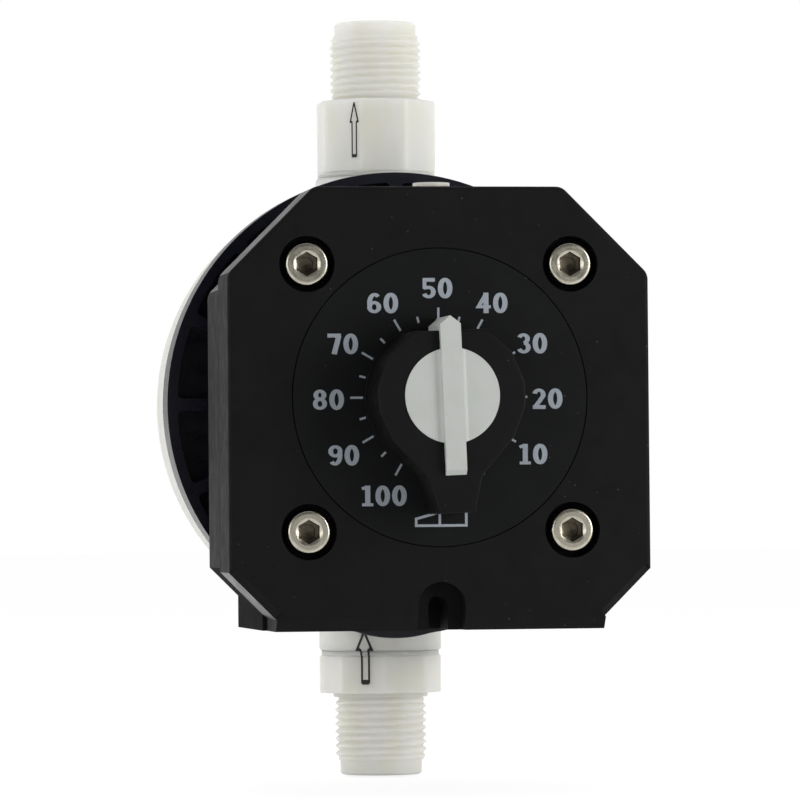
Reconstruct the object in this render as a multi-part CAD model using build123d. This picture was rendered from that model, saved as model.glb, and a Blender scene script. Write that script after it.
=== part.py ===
"""Air-driven diaphragm metering pump with a stroke dial, as an assembly of separate pieces.

Millimetres, +Z up. The origin is the centre of the foot's bolt pattern, on the foot plane.
The dial faces -Y and the dosing head is at +Y. A depth is measured along +Y from the front
face of the cover. A height is measured from the drive axis, which runs along Y.
"""
import os
from math import cos, pi, radians, sin, sqrt

from build123d import *

# ---- fits ---------------------------------------------------------------------------------
slip = 0.05             # radial clearance of a running fit
joint_gap = 0.02        # radial clearance of a piece fixed in its seat

# ---- drive housing ------------------------------------------------------------------------
axis_height = 54.5      # drive axis above the foot plane
front_y = -40.0         # front face of the cover
housing_width = 100.0
crown_height = 49.5     # top of the housing
crown_half = 29.5       # half of the flat top, between the upper chamfers
cover_shoulder = 29.0   # height at which the cover's upper chamfers meet its sides
body_shoulder = 25.6    # the same on the body, whose upper chamfers are steeper
flank_drop = 39.6       # drop at which the lower chamfers start
hip_drop = 50.6         # drop at which they end
lip_half = 39.0         # half width of the lip that reaches the foot plane
upper_round = 3.5       # roundings of the outline's upper corners
face_drop = 51.0        # lower edge of the flat front face
lip_bevel_depth = 2.0   # how far back the lip's bevel reaches
edge_round = 1.0        # rounding of the cover's front edge
lower_bevel = 1.75      # bevel along the cover's lower chamfers
cover_depth = 17.5
cover_wall = 6.5        # front wall of the cover, over the air chamber
gasket_thickness = 0.5
gasket_inset = 1.0
slab_back = 38.0        # back of the octagonal part of the body
neck_radius = 42.0
body_back = 62.6        # depth at which the backplate seats
foot_half = 40.0        # half width of the body's foot block
foot_rise = 20.0        # height of the foot block
cylinder_radius = 30.0
end_clearance = 1.0     # left behind the piston at the end of its travel

# ---- screws in the cover ------------------------------------------------------------------
bolt_spacing = 62.5
bolt_radius = 3.0
bolt_head_radius = 5.0
bolt_head_height = 6.0
bolt_recess_radius = 6.55
bolt_hole_radius = 3.3
bolt_length = 30.0
bolt_socket = 5.0       # across the flats of the hexagon socket
bolt_edge = 0.6

# ---- recess and slot in the lip -----------------------------------------------------------
slot_recess_radius = 5.65
slot_recess_drop = 48.8
slot_recess_depth = 6.0
slot_width = 4.6

# ---- foot ---------------------------------------------------------------------------------
foot_spacing_x = 60.0
foot_spacing_y = 28.0
foot_insert_length = 9.0
foot_insert_radius = 3.5
foot_insert_bore = 2.1  # core of an M5 thread

# ---- dial and knob ------------------------------------------------------------------------
stroke_setting = 50.7   # per cent, the setting that the knob is drawn at
middle_setting = 50.0   # per cent, at which the knob stands upright
degrees_per_percent = 3.0
plate_radius = 34.85
plate_thickness = 1.2
plate_gap = 0.25
knob_radius = 17.05     # corners of the faceted grip
knob_height = 16.7      # its face above the dial plate
knob_gap = 0.4          # between the knob and the dial plate
knob_edge = 0.5
skirt_radius = 17.75
skirt_height = 1.6
facet_angles = (29.5, 56.0, 82.0, 100.0, 125.0)
waist_half = 6.2        # half width of the tail at its waist
waist_reach = 18.3
waist_round = 5.0
tail_half = 4.2
tail_reach = 26.6
knob_wall = 2.0
knob_floor = 3.2        # thickness of the knob's front
hub_radius = 5.6
cap_radius = 10.8
cap_proud = 0.3         # how far the cap stands out of the knob's front
cap_sink = 1.4          # how far it is let in
bar_proud = 1.7         # the same two for the grip bar
bar_sink = 0.6
bar_fillet = 1.2        # hollow between cap and bar
bar_half = 2.35
bar_up = 18.0           # reach of the pointer's tip
bar_shoulder = 16.1     # where the tip starts
bar_down = 17.9
bar_end_bevel = 1.2
knob_nut_across = 8.0
knob_nut_height = 1.6

# ---- adjusting spindle and stop -----------------------------------------------------------
stem_radius = 3.0       # in the knob's hub
journal_radius = 4.0
bush_radius = 7.0
bush_back = 8.0
circlip_front = 0.3
circlip_thickness = 0.8
circlip_radius = 5.4
circlip_bite = 0.5      # depth of its groove
ring_section = 0.65     # section radius of the spindle's rubber ring
ring_depth = 4.6
flange_radius = 6.4
flange_thickness = 1.8
screw_radius = 5.0      # Tr 10 x 3, left-hand, drawn at its outer diameter
screw_end = 22.0
stop_across = 16.0      # hexagon of the stop nut, which slides in the cover's guide
stop_front = 12.2
guide_radius = 12.0
guide_back = 16.6
stop_rim_radius = 11.0
stop_rim_thickness = 2.2

# ---- piston train -------------------------------------------------------------------------
full_stroke = 2.5       # at 100 per cent
stop_face = 20.6        # back of the stop nut at 50 per cent
piston_thickness = 7.4
piston_slip = 0.08
piston_ring_section = 1.25
piston_recess_radius = 6.5
piston_recess_depth = 3.2
spring_radius = 15.5
spring_wire = 1.1       # radius of the wire
spring_turns = 5
spring_seat = 1.0       # how far the spring is let into the piston
spring_back = 42.0
rod_radius = 5.0
rod_stem = 4.0
rod_stem_length = 3.4
rod_bush_radius = 8.0
rod_bush_front = 33.0
rod_bush_back = 47.0
rod_seal_radius = 8.5
rod_seal_thickness = 4.0

# ---- backplate and diaphragm --------------------------------------------------------------
disc_radius = 57.0
disc_thickness = 10.0
rim_wall = 2.5
pocket_depth = 7.0
pocket_inner = 45.5
pocket_round = 1.2
rib_count = 16
rib_width = 3.0
lobe_radius = 30.0      # the drain's lobe, which bulges just past the rim
lobe_proud = 0.8        # how far it stands out past the disc
lobe_thickness = 5.0
drain_radius = 1.2
drain_wall = 2.0
drain_inset = 3.4       # the drain's axis in front of the disc's back
bead_radius = 36.5      # clamped edge of the diaphragm
bead_thickness = 3.0
web_radius = 32.5
web_thickness = 1.2
relief_depth = 4.8      # space behind the diaphragm
chamber_depth = 4.8     # space in front of it, in the head
core_radius = 12.0
core_inset = 3.0        # the core's front ahead of the disc's back, at 50 per cent
core_thickness = 3.6
core_skin = 1.2         # diaphragm over the core
core_wall = 2.0
core_stud = 3.0
core_stud_length = 9.0
hub_screw_circle = 22.0
hub_screw_radius = 2.5
hub_screw_length = 16.0
hub_screw_head = 4.6
hub_screw_sink = 2.5

# ---- dosing head --------------------------------------------------------------------------
head_radius = 56.0
head_thickness = 27.1
head_edge = 6.0
valve_gap = 5.7         # between the backplate and the valves' collars
block_half = 18.0       # raised block that takes the valves
block_proud = 12.3      # how far the block stands out of the head's back
block_round = 4.0
flat_inset = 6.0        # the faces that the valves seat on, inside the head's outline
port_radius = 4.0
port_height = 21.0
head_screw_circle = 41.5
head_screw_count = 6
head_screw_radius = 2.5
head_screw_head = 4.25
head_screw_head_height = 5.0
head_screw_socket = 4.0
head_screw_length = 25.0
head_screw_sink = 7.0
head_screw_clearance = 0.25
washer_thickness = 1.0
washer_radius = 5.0
head_insert_length = 7.5
head_insert_radius = 3.4

# ---- valves -------------------------------------------------------------------------------
collar_radius = 15.3
octagon_radius = 15.4   # corners of the wrench octagon
discharge_turn = 21.5   # where a corner points, seen from above
suction_turn = -4.7
thread_radius = 11.455  # G 5/8 A, drawn at its outer diameter
lead_radius = 10.25
collar_round = 0.8
spigot_radius = 11.0    # screwed into the head
spigot_length = 13.0
neck_wall = 2.9         # wall of the neck round the seat
ball_radius = 5.55
ball_lift = 1.8
cage_gap = 0.9          # space round the ball
cage_slots = 4
seat_radius = 8.6
seat_bore = 4.3
seat_thickness = 3.4
seat_ring_section = 0.8
valve_bore = 4.7        # passage through the seats and cages
connector_bore = 5.0
discharge_collar_length = 7.5
discharge_seat_rise = 6.5   # the seat above the collar
discharge_gap = 1.1         # between collar and octagon
discharge_octagon_length = 16.8
discharge_cone_length = 1.9  # shoulder between octagon and thread
discharge_throat_rise = 4.2  # end of the narrower passage above the octagon
discharge_thread_length = 16.1
discharge_lead_length = 3.2  # plain end beyond the thread
suction_collar_length = 11.3
suction_seat_rise = 4.3     # the seat above the collar's lower end
suction_gap = 1.0
suction_octagon_length = 9.6
suction_cone_length = 1.1
suction_thread_length = 15.8
suction_lead_length = 3.6

# ---- air connection -----------------------------------------------------------------------
air_depth = 10.5
sleeve_radius = 4.9
sleeve_length = 12.0
sleeve_sink = 0.5
air_tube_radius = 3.05  # seat of a 6 mm tube
air_tube_seat = 4.0
air_channel_radius = 2.0
collet_radius = 3.9
collet_length = 5.0
collet_flange_radius = 4.35
collet_flange = 0.8
collet_travel = 1.0
air_ring_section = 0.6

# ---- worked out from the above ------------------------------------------------------------
drive_axis = Axis((0, 0, axis_height), (0, 1, 0))
air_y = front_y + air_depth
body_front = cover_depth + gasket_thickness
disc_back = body_back + disc_thickness
lobe_drop = disc_radius + lobe_proud
core_front = disc_back - core_inset
head_back = disc_back + head_thickness
block_back = head_back + block_proud
valve_depth = disc_back + valve_gap + collar_radius
valve_y = front_y + valve_depth
knob_angle = (middle_setting - stroke_setting) * degrees_per_percent
setting_shift = (middle_setting - stroke_setting) / 100 * full_stroke
knob_face = -knob_height
nut_back = knob_face + cap_sink + knob_nut_height
piston_front = stop_face + setting_shift
piston_back = piston_front + piston_thickness
cylinder_back = stop_face + piston_thickness + full_stroke + end_clearance
head_flat = head_radius - flat_inset
discharge_collar = head_flat + discharge_collar_length
discharge_seat = discharge_collar + discharge_seat_rise
discharge_foot = discharge_collar + discharge_gap
discharge_octagon = (discharge_foot, discharge_foot + discharge_octagon_length)
throat_top = discharge_octagon[1] + discharge_throat_rise
discharge_start = discharge_octagon[1] + discharge_cone_length
discharge_thread = (discharge_start, discharge_start + discharge_thread_length)
discharge_end = discharge_thread[1] + discharge_lead_length
suction_collar = head_flat + suction_collar_length
suction_seat = suction_collar - suction_seat_rise
suction_foot = suction_collar + suction_gap
suction_octagon = (suction_foot, suction_foot + suction_octagon_length)
suction_start = suction_octagon[1] + suction_cone_length
suction_thread = (suction_start, suction_start + suction_thread_length)
suction_end = suction_thread[1] + suction_lead_length
relief_front = disc_back - relief_depth
bead_front = disc_back - bead_thickness / 2
bead_back = disc_back + bead_thickness / 2
sleeve_top = crown_height - sleeve_sink
sleeve_foot = sleeve_top - sleeve_length
socket_radius = seat_radius + neck_wall
ball_rise = sqrt(ball_radius**2 - seat_bore**2) + joint_gap
cage_radius = ball_radius + cage_gap
base = (Align.CENTER, Align.CENTER, Align.MIN)


# ---- helpers ------------------------------------------------------------------------------
def across(depth):
    """Plane across the drive axis at a depth, drawn as seen from the dial side."""
    return Plane(origin=(0, front_y + depth, axis_height), x_dir=(1, 0, 0), z_dir=(0, -1, 0))


def slab(sketch, front, back):
    """A sketch seen from the dial side, extruded from one depth to another."""
    return extrude(across(front) * sketch, amount=back - front, dir=(0, 1, 0))


def disc(radius, front, back, places=((0, 0),)):
    """Cylinders along Y between two depths, at (x, height) places."""
    return slab(Sketch() + [Pos(x, z) * Circle(radius) for x, z in places], front, back)


def along():
    """Plane through the drive axis, local x along the depth and local y outwards."""
    return Plane(origin=(0, front_y, axis_height), x_dir=(0, 1, 0), z_dir=(1, 0, 0))


def turned(*corners):
    """A piece turned about the drive axis, from (depth, radius) corners."""
    return revolve(along() * Polygon(*corners, align=None), axis=drive_axis)


def rubber_ring(centre_radius, section, depth):
    """A round-section ring about the drive axis."""
    return revolve(along() * Pos(depth, centre_radius) * Circle(section), axis=drive_axis)


def upright(y):
    """Plane through the upright axis at y, local x outwards and local y the height."""
    return Plane(origin=(0, y, axis_height), x_dir=(1, 0, 0), z_dir=(0, -1, 0))


def turned_upright(y, *corners):
    """A piece turned about the upright axis at y, from (radius, height) corners."""
    return revolve(upright(y) * Polygon(*corners, align=None), axis=Axis((0, y, 0), (0, 0, 1)))


def upright_ring(y, centre_radius, section, height):
    """A round-section ring about the upright axis at y."""
    circle = upright(y) * Pos(centre_radius, height) * Circle(section)
    return revolve(circle, axis=Axis((0, y, 0), (0, 0, 1)))


def column(sketch, y, low, high):
    """A sketch seen from above, extruded between two heights about the upright axis at y."""
    return extrude(Pos(0, y, axis_height + low) * sketch, amount=high - low, dir=(0, 0, 1))


def hexagon(across_flats):
    return RegularPolygon(across_flats / 2, 6, major_radius=False, rotation=30)


def ring_places(count, circle_radius, start=0.0):
    """(x, height) places spread evenly round the drive axis."""
    turns = [radians(start + 360.0 * step / count) for step in range(count)]
    return [(circle_radius * cos(turn), circle_radius * sin(turn)) for turn in turns]


def corner_places(spacing_x, spacing_y):
    """The four corners of a rectangle."""
    return [(x, y) for x in (-spacing_x / 2, spacing_x / 2) for y in (-spacing_y / 2, spacing_y / 2)]


def group(pieces):
    return Compound(children=list(pieces))


def socket_screw(head_radius_, head_height, radius, length, socket, edge):
    """Socket head screw along +Y, the top of its head at depth 0."""
    screw = disc(head_radius_, 0, head_height)
    screw = fillet(screw.faces().sort_by(Axis.Y)[0].edges(), edge)
    screw += disc(radius, head_height, head_height + length)
    return screw - slab(hexagon(socket), 0, head_height * 0.55)


# ---- housing ------------------------------------------------------------------------------
def housing_outline(shoulder, grow=0.0):
    """Octagon of the housing, with a short lip down to the foot plane."""
    half = housing_width / 2
    right = [
        (crown_half, crown_height),
        (half, shoulder),
        (half, -flank_drop),
        (lip_half, -hip_drop),
        (lip_half, -axis_height),
    ]
    left = [(-x, z) for x, z in reversed(right)]
    outline = Polygon(*right, *left, align=None)
    outline = fillet(outline.vertices().filter_by(lambda corner: corner.Y > 0), upper_round)
    return offset(outline, amount=grow, kind=Kind.INTERSECTION) if grow else outline


def front_wedge(start, end, reach, depth):
    """Prism that bevels the cover's front edge from start to end, clockwise as seen."""
    run = Vector(end[0] - start[0], 0, end[1] - start[1])
    edge = Plane(origin=(start[0], front_y, axis_height + start[1]), x_dir=(0, 1, 0), z_dir=run)
    over = 2.0
    corners = ((-over, -reach), (-over, over), (depth * (1 + over / reach), over), (0, -reach))
    return extrude(edge * Polygon(*corners, align=None), amount=run.length, dir=run)


def lip_slot(half_width, front, back):
    """A slot with a round top at the lip's recess, open through the foot plane."""
    drop = axis_height - slot_recess_drop + 1
    shank = Rectangle(2 * half_width, drop, align=(Align.CENTER, Align.MAX))
    return slab(Pos(0, -slot_recess_drop) * (Circle(half_width) + shank), front, back)


def make_front_cover():
    """Octagonal cover with the dial seat, the air chamber and the stop nut's guide."""
    half = housing_width / 2
    cover = slab(housing_outline(cover_shoulder), 0, cover_depth)
    rim = cover.faces().sort_by(Axis.Y)[0].edges()
    cover = fillet(rim.filter_by(lambda edge: edge.center().Z > axis_height - flank_drop), edge_round)
    cover -= front_wedge((half, -flank_drop), (lip_half, -hip_drop), lower_bevel, lower_bevel)
    cover -= front_wedge((-lip_half, -hip_drop), (-half, -flank_drop), lower_bevel, lower_bevel)
    lip = (lip_half, -axis_height), (-lip_half, -axis_height)
    cover -= front_wedge(*lip, axis_height - face_drop, lip_bevel_depth)

    corners = corner_places(bolt_spacing, bolt_spacing)
    cover -= disc(bolt_recess_radius, 0, bolt_head_height, corners)
    cover -= disc(bolt_hole_radius, 0, cover_depth, corners)
    cover -= disc(plate_radius + plate_gap, 0, plate_thickness)
    cover -= lip_slot(slot_recess_radius, 0, slot_recess_depth)
    cover -= lip_slot(slot_width / 2, 0, cover_depth)

    cover -= disc(cylinder_radius, cover_wall, cover_depth) - disc(guide_radius, 0, guide_back)
    cover -= disc(bush_radius + joint_gap, 0, bush_back)
    cover -= slab(hexagon(stop_across + 2 * slip), bush_back, guide_back)
    cover -= column(Circle(sleeve_radius + joint_gap), air_y, sleeve_foot, crown_height + 1)
    cover -= column(Circle(air_channel_radius), air_y, cylinder_radius - 1, crown_height)
    return cover


def make_cover_gasket():
    """Flat gasket between cover and body, set back from their outline."""
    sheet = slab(housing_outline(cover_shoulder, -gasket_inset), cover_depth, body_front)
    sheet -= disc(cylinder_radius, cover_depth, body_front)
    sheet -= disc(bolt_hole_radius, cover_depth, body_front, corner_places(bolt_spacing, bolt_spacing))
    return sheet - lip_slot(slot_recess_radius, cover_depth, body_front)


def make_housing_body():
    """Octagonal body with the cylinder, the spring pocket, the neck and the foot block."""
    foot = Rectangle(2 * foot_half, foot_rise, align=(Align.CENTER, Align.MIN))
    body = slab(Pos(0, -axis_height) * foot, body_front, body_back)
    body += slab(housing_outline(body_shoulder), body_front, slab_back)
    body += disc(neck_radius, body_front, body_back)

    body -= disc(cylinder_radius, body_front, cylinder_back)
    outer, inner = spring_radius + 2 * spring_wire, spring_radius - 2 * spring_wire
    body -= disc(outer, cylinder_back, spring_back) - disc(inner, cylinder_back, spring_back)
    body -= disc(rod_bush_radius + joint_gap, cylinder_back, rod_bush_back)
    body -= disc(rod_radius + 2 * slip, cylinder_back, body_back)
    body -= disc(rod_seal_radius + joint_gap, body_back - rod_seal_thickness, body_back)
    bolt_tip = bolt_head_height + bolt_length
    body -= disc(bolt_radius + joint_gap, body_front, bolt_tip + 1, corner_places(bolt_spacing, bolt_spacing))
    hub_tip = relief_front - hub_screw_length
    body -= disc(hub_screw_radius + joint_gap, hub_tip - 1, body_back, ring_places(4, hub_screw_circle, 45))
    for x, y in corner_places(foot_spacing_x, foot_spacing_y):
        body -= Pos(x, y, 0) * Cylinder(foot_insert_radius + joint_gap, foot_insert_length, align=base)
    return body


def make_foot_inserts():
    """Four brass inserts, flush with the foot plane."""
    sleeve = Cylinder(foot_insert_radius, foot_insert_length, align=base)
    sleeve -= Cylinder(foot_insert_bore, foot_insert_length, align=base)
    return group(Pos(x, y, 0) * sleeve for x, y in corner_places(foot_spacing_x, foot_spacing_y))


def make_cover_screws():
    """Four socket head screws through the cover into the body, heads flush with the face."""
    screw = socket_screw(
        bolt_head_radius, bolt_head_height, bolt_radius, bolt_length, bolt_socket, bolt_edge
    )
    return group(Pos(x, 0, z) * screw for x, z in corner_places(bolt_spacing, bolt_spacing))


# ---- dial and knob ------------------------------------------------------------------------
def make_scale_plate():
    """Round dial plate, flush with the cover's face."""
    return disc(plate_radius, 0, plate_thickness) - disc(bush_radius, 0, plate_thickness)


def grip_outline():
    """Faceted grip with a waisted tail pointing down."""
    right = [
        (knob_radius * sin(radians(angle)), knob_radius * cos(radians(angle)))
        for angle in facet_angles
    ]
    right += [(waist_half, -waist_reach), (tail_half, -tail_reach)]
    left = [(-x, z) for x, z in reversed(right)]
    outline = Polygon(*right, *left, align=None)
    waist = outline.vertices().filter_by(lambda corner: abs(corner.Y + waist_reach) < 0.01)
    return fillet(waist, waist_round)


def bar_outline(gap=0.0):
    """Grip bar with a pointed upper end."""
    half = bar_half + gap
    right = [(half, -bar_down - gap), (half, bar_shoulder + gap), (0, bar_up + gap)]
    return Polygon(*right, (-half, bar_shoulder + gap), (-half, -bar_down - gap), align=None)


def tip_outline(gap=0.0):
    """The part of the bar that overhangs the grip's upper flat."""
    flat = knob_radius * cos(radians(facet_angles[0]))
    overhang = Rectangle(2 * knob_radius, knob_radius, align=(Align.CENTER, Align.MIN))
    return bar_outline(gap) & Pos(0, flat + joint_gap - gap) * overhang


def make_knob_body():
    """Black knob: faceted shell with a tail, a round skirt, a hub and a seat for the cap."""
    grip = slab(grip_outline(), knob_face, -knob_gap)
    grip = fillet(grip.faces().sort_by(Axis.Y)[0].edges(), knob_edge)
    knob = grip + disc(skirt_radius, -knob_gap - skirt_height, -knob_gap)
    hollow = slab(offset(grip_outline(), amount=-knob_wall), knob_face + knob_floor, -knob_gap)
    knob -= hollow - disc(hub_radius, knob_face, -knob_gap)
    knob -= disc(cap_radius + joint_gap, knob_face, knob_face + cap_sink)
    knob -= disc(knob_nut_across / 2 / cos(pi / 6) + 0.5, knob_face, nut_back)
    knob -= disc(stem_radius + joint_gap, knob_face, -knob_gap)
    knob -= slab(bar_outline(joint_gap), knob_face, knob_face + bar_sink)
    knob -= slab(tip_outline(joint_gap), knob_face, -knob_gap)
    return knob.rotate(drive_axis, knob_angle)


def make_knob_pointer():
    """Pale cap with a grip bar, whose pointed end reaches down to the dial."""
    bar_face, cap_face = knob_face - bar_proud, knob_face - cap_proud
    bar = slab(bar_outline(), bar_face, knob_face + bar_sink)
    lower_end = bar.edges().filter_by(Axis.X).sort_by(Axis.Z)[:2].sort_by(Axis.Y)[0]
    bar = chamfer(lower_end, bar_end_bevel)
    piece = bar + disc(cap_radius, cap_face, knob_face + cap_sink)
    hollows = piece.edges().filter_by(Axis.Z).filter_by(
        lambda edge: abs(edge.center().Y - front_y - cap_face) < 0.01
    )
    piece = fillet(hollows, bar_fillet)
    piece += slab(tip_outline(), bar_face, -knob_gap - slip)
    return piece.rotate(drive_axis, knob_angle)


def make_knob_nut():
    """Hexagon nut that holds the knob on the spindle, under the cap."""
    nut = slab(hexagon(knob_nut_across), knob_face + cap_sink + joint_gap, nut_back)
    return nut - disc(stem_radius + joint_gap, knob_face, nut_back)


def make_adjusting_spindle():
    """Spindle with the knob's stem, a journal, a thrust flange and the stop's screw."""
    flange_back = bush_back + slip + flange_thickness
    clip = circlip_front, circlip_front + circlip_thickness
    groove = journal_radius - circlip_bite
    ring_half = ring_section + slip
    ring_floor = journal_radius - 2 * ring_section - slip
    return turned(
        (knob_face + cap_sink + 2 * joint_gap, 0),
        (knob_face + cap_sink + 2 * joint_gap, stem_radius),
        (-knob_gap, stem_radius),
        (-knob_gap, journal_radius),
        (clip[0], journal_radius),
        (clip[0], groove),
        (clip[1], groove),
        (clip[1], journal_radius),
        (ring_depth - ring_half, journal_radius),
        (ring_depth - ring_half, ring_floor),
        (ring_depth + ring_half, ring_floor),
        (ring_depth + ring_half, journal_radius),
        (bush_back + slip, journal_radius),
        (bush_back + slip, flange_radius),
        (flange_back, flange_radius),
        (flange_back, screw_radius),
        (screw_end, screw_radius),
        (screw_end, 0),
    )


def make_spindle_circlip():
    """Open retaining ring in the spindle's groove, in front of the bush."""
    inner = journal_radius - circlip_bite + joint_gap
    ring = Circle(circlip_radius) - Circle(inner)
    mouth = Rectangle(1.4 * inner, circlip_radius, align=(Align.CENTER, Align.MAX))
    return slab(ring - mouth, circlip_front + joint_gap, circlip_front + circlip_thickness - joint_gap)


def make_spindle_bush():
    """Plain bush in the cover."""
    return disc(bush_radius, plate_thickness, bush_back) - disc(journal_radius + slip, 0, bush_back)


def make_stop_nut():
    """Hexagon nut that slides in the cover's guide, with a rim that the piston rests on."""
    front, back = stop_front + setting_shift, piston_front
    nut = slab(hexagon(stop_across), front, back)
    nut += disc(stop_rim_radius, back - stop_rim_thickness, back)
    return nut - disc(screw_radius + slip, front, back)


# ---- piston train -------------------------------------------------------------------------
def make_piston():
    """Piston with a seal groove, a recess over the spindle's end and a seat for the spring."""
    middle = (piston_front + piston_back) / 2
    outer = cylinder_radius - piston_slip
    groove = cylinder_radius - slip - 2 * piston_ring_section - joint_gap
    half = piston_ring_section + slip
    seat = piston_back - spring_seat
    return turned(
        (piston_front + piston_recess_depth, rod_stem + joint_gap),
        (piston_front + piston_recess_depth, piston_recess_radius),
        (piston_front, piston_recess_radius),
        (piston_front, outer),
        (middle - half, outer),
        (middle - half, groove),
        (middle + half, groove),
        (middle + half, outer),
        (piston_back, outer),
        (piston_back, spring_radius + 2 * spring_wire),
        (seat, spring_radius + 2 * spring_wire),
        (seat, spring_radius - 2 * spring_wire),
        (piston_back, spring_radius - 2 * spring_wire),
        (piston_back, rod_stem + joint_gap),
    )


def make_piston_seal():
    centre = cylinder_radius - slip - piston_ring_section
    return rubber_ring(centre, piston_ring_section, (piston_front + piston_back) / 2)


def make_return_spring():
    """Coil spring between the floor of the body's pocket and the piston."""
    start = piston_back - spring_seat + spring_wire + slip
    length = spring_back - spring_wire - slip - start
    path = Helix(length / spring_turns, length, spring_radius)
    wire = sweep(Plane(path @ 0, z_dir=path % 0) * Circle(spring_wire), path)
    return Location((0, front_y + start, axis_height), (-90, 0, 0)) * wire


def make_push_rod():
    """Rod from the piston to the diaphragm's core, which screws into its end."""
    end = core_front + setting_shift
    return turned(
        (piston_back - rod_stem_length, 0),
        (piston_back - rod_stem_length, rod_stem),
        (piston_back, rod_stem),
        (piston_back, rod_radius),
        (end, rod_radius),
        (end, core_stud + joint_gap),
        (end - core_stud_length - slip, core_stud + joint_gap),
        (end - core_stud_length - slip, 0),
    )


def make_rod_bush():
    return disc(rod_bush_radius, rod_bush_front, rod_bush_back) - disc(rod_radius + slip, 0, body_back)


def make_rod_seal():
    """Lip seal round the rod, held in the body's back by the backplate."""
    front = body_back - rod_seal_thickness + joint_gap
    lip = rod_radius + slip
    return turned(
        (front, rod_seal_radius),
        (front, lip + 1.4),
        (front + 1.2, lip + 1.2),
        (front + 1.2, lip),
        (front + 2.2, lip),
        (body_back - joint_gap, lip + 1.6),
        (body_back - joint_gap, rod_seal_radius),
    )


# ---- backplate and diaphragm --------------------------------------------------------------
def make_backplate():
    """Ribbed disc: pockets open to the front, the diaphragm's seat behind, a drain below."""
    plate = disc(disc_radius, body_back, disc_back)
    plate += disc(lobe_radius, disc_back - lobe_thickness, disc_back, [(0, lobe_radius - lobe_drop)])
    ribs = Sketch() + [
        Rot(0, 0, 360 * step / rib_count) * Rectangle(rib_width, disc_radius, align=(Align.CENTER, Align.MIN))
        for step in range(rib_count)
    ]
    pockets = Circle(disc_radius - rim_wall) - Circle(pocket_inner) - ribs
    pockets = fillet(pockets.vertices(), pocket_round)
    plate -= slab(pockets, body_back, body_back + pocket_depth)

    drain_y = front_y + disc_back - drain_inset
    boss = Rectangle(2 * (drain_radius + drain_wall), pocket_depth, align=(Align.CENTER, Align.MIN))
    boss = Pos(0, front_y + body_back) * boss
    plate += column(boss, 0, -disc_radius + rim_wall / 2, -pocket_inner + 1)
    plate -= column(Circle(drain_radius), drain_y, -lobe_drop - 1, -web_radius + 1)

    plate -= disc(web_radius, relief_front, disc_back)
    plate -= disc(bead_radius + joint_gap, bead_front, disc_back)
    plate -= disc(rod_radius + 2 * slip + 0.3, body_back, disc_back)
    hub = ring_places(4, hub_screw_circle, 45)
    plate -= disc(hub_screw_radius + joint_gap, body_back, disc_back, hub)
    for x, z in hub:
        plate -= Pos(x, 0, z) * hub_screw_cone(joint_gap)
    inserts = ring_places(head_screw_count, head_screw_circle)
    return plate - disc(head_insert_radius + joint_gap, disc_back - head_insert_length, disc_back, inserts)


def hub_screw_cone(gap=0.0):
    """Countersunk head, flush with the floor behind the diaphragm."""
    return turned(
        (relief_front, 0),
        (relief_front, hub_screw_head + gap),
        (relief_front - hub_screw_sink, hub_screw_radius + gap),
        (relief_front - hub_screw_sink, 0),
    )


def make_backplate_screws():
    """Four countersunk screws from the backplate into the body's neck."""
    shank_back = relief_front - hub_screw_sink
    screw = hub_screw_cone() + disc(hub_screw_radius, relief_front - hub_screw_length, shank_back)
    return group(Pos(x, 0, z) * screw for x, z in ring_places(4, hub_screw_circle, 45))


def make_diaphragm():
    """Diaphragm with a clamped bead, a thin web and a boss moulded over the core."""
    core_top = core_front + setting_shift + core_thickness + joint_gap
    boss = core_radius + core_wall
    web_front, web_back = disc_back - web_thickness / 2, disc_back + web_thickness / 2
    return turned(
        (core_top, 0),
        (core_top, core_radius + joint_gap),
        (web_front - web_thickness, core_radius + joint_gap),
        (web_front - web_thickness, boss - 0.8),
        (web_front, boss + 0.8),
        (web_front, web_radius - 0.8),
        (bead_front, web_radius + 0.3),
        (bead_front, bead_radius),
        (bead_back, bead_radius),
        (bead_back, web_radius + 0.3),
        (web_back, web_radius - 0.8),
        (web_back, boss + 1.2),
        (core_top + core_skin, boss - 1.2),
        (core_top + core_skin, 0),
    )


def make_diaphragm_core():
    """Core disc of the diaphragm, with its stud in the push rod."""
    front = core_front + setting_shift
    return turned(
        (front - core_stud_length, 0),
        (front - core_stud_length, core_stud),
        (front, core_stud),
        (front, core_radius),
        (front + core_thickness, core_radius),
        (front + core_thickness, 0),
    )


# ---- dosing head --------------------------------------------------------------------------
def make_dosing_head():
    """Round head with a dished chamber, a raised block for the valves and sunk screw seats."""
    head = disc(head_radius, disc_back, head_back)
    head = fillet(head.faces().sort_by(Axis.Y)[-1].edges(), head_edge)
    block = slab(Rectangle(2 * block_half, 2 * head_flat), disc_back + head_edge, block_back)
    back_edges = block.faces().sort_by(Axis.Y)[-1].edges()
    head += fillet(back_edges + block.edges().filter_by(Axis.Y), block_round)

    head -= disc(bead_radius + joint_gap, disc_back, bead_back)
    chamber = turned(
        (bead_back, 0),
        (bead_back, web_radius),
        (disc_back + chamber_depth, core_radius + core_wall),
        (disc_back + chamber_depth, 0),
    )
    head -= chamber
    head -= disc(port_radius, disc_back + 1, valve_depth, [(0, port_height), (0, -port_height)])
    spigot_end = head_flat - spigot_length
    for side in (-1, 1):
        head -= upright_between(spigot_radius + joint_gap, side * spigot_end, side * head_radius)
        head -= upright_between(collar_radius + 0.5, side * head_flat, side * head_radius)
        head -= upright_between(port_radius, side * port_height, side * spigot_end)
    screws = ring_places(head_screw_count, head_screw_circle)
    head -= disc(head_screw_radius + head_screw_clearance, disc_back, head_back, screws)
    return head - disc(washer_radius + head_screw_clearance, head_back - head_screw_sink, head_back, screws)


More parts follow.
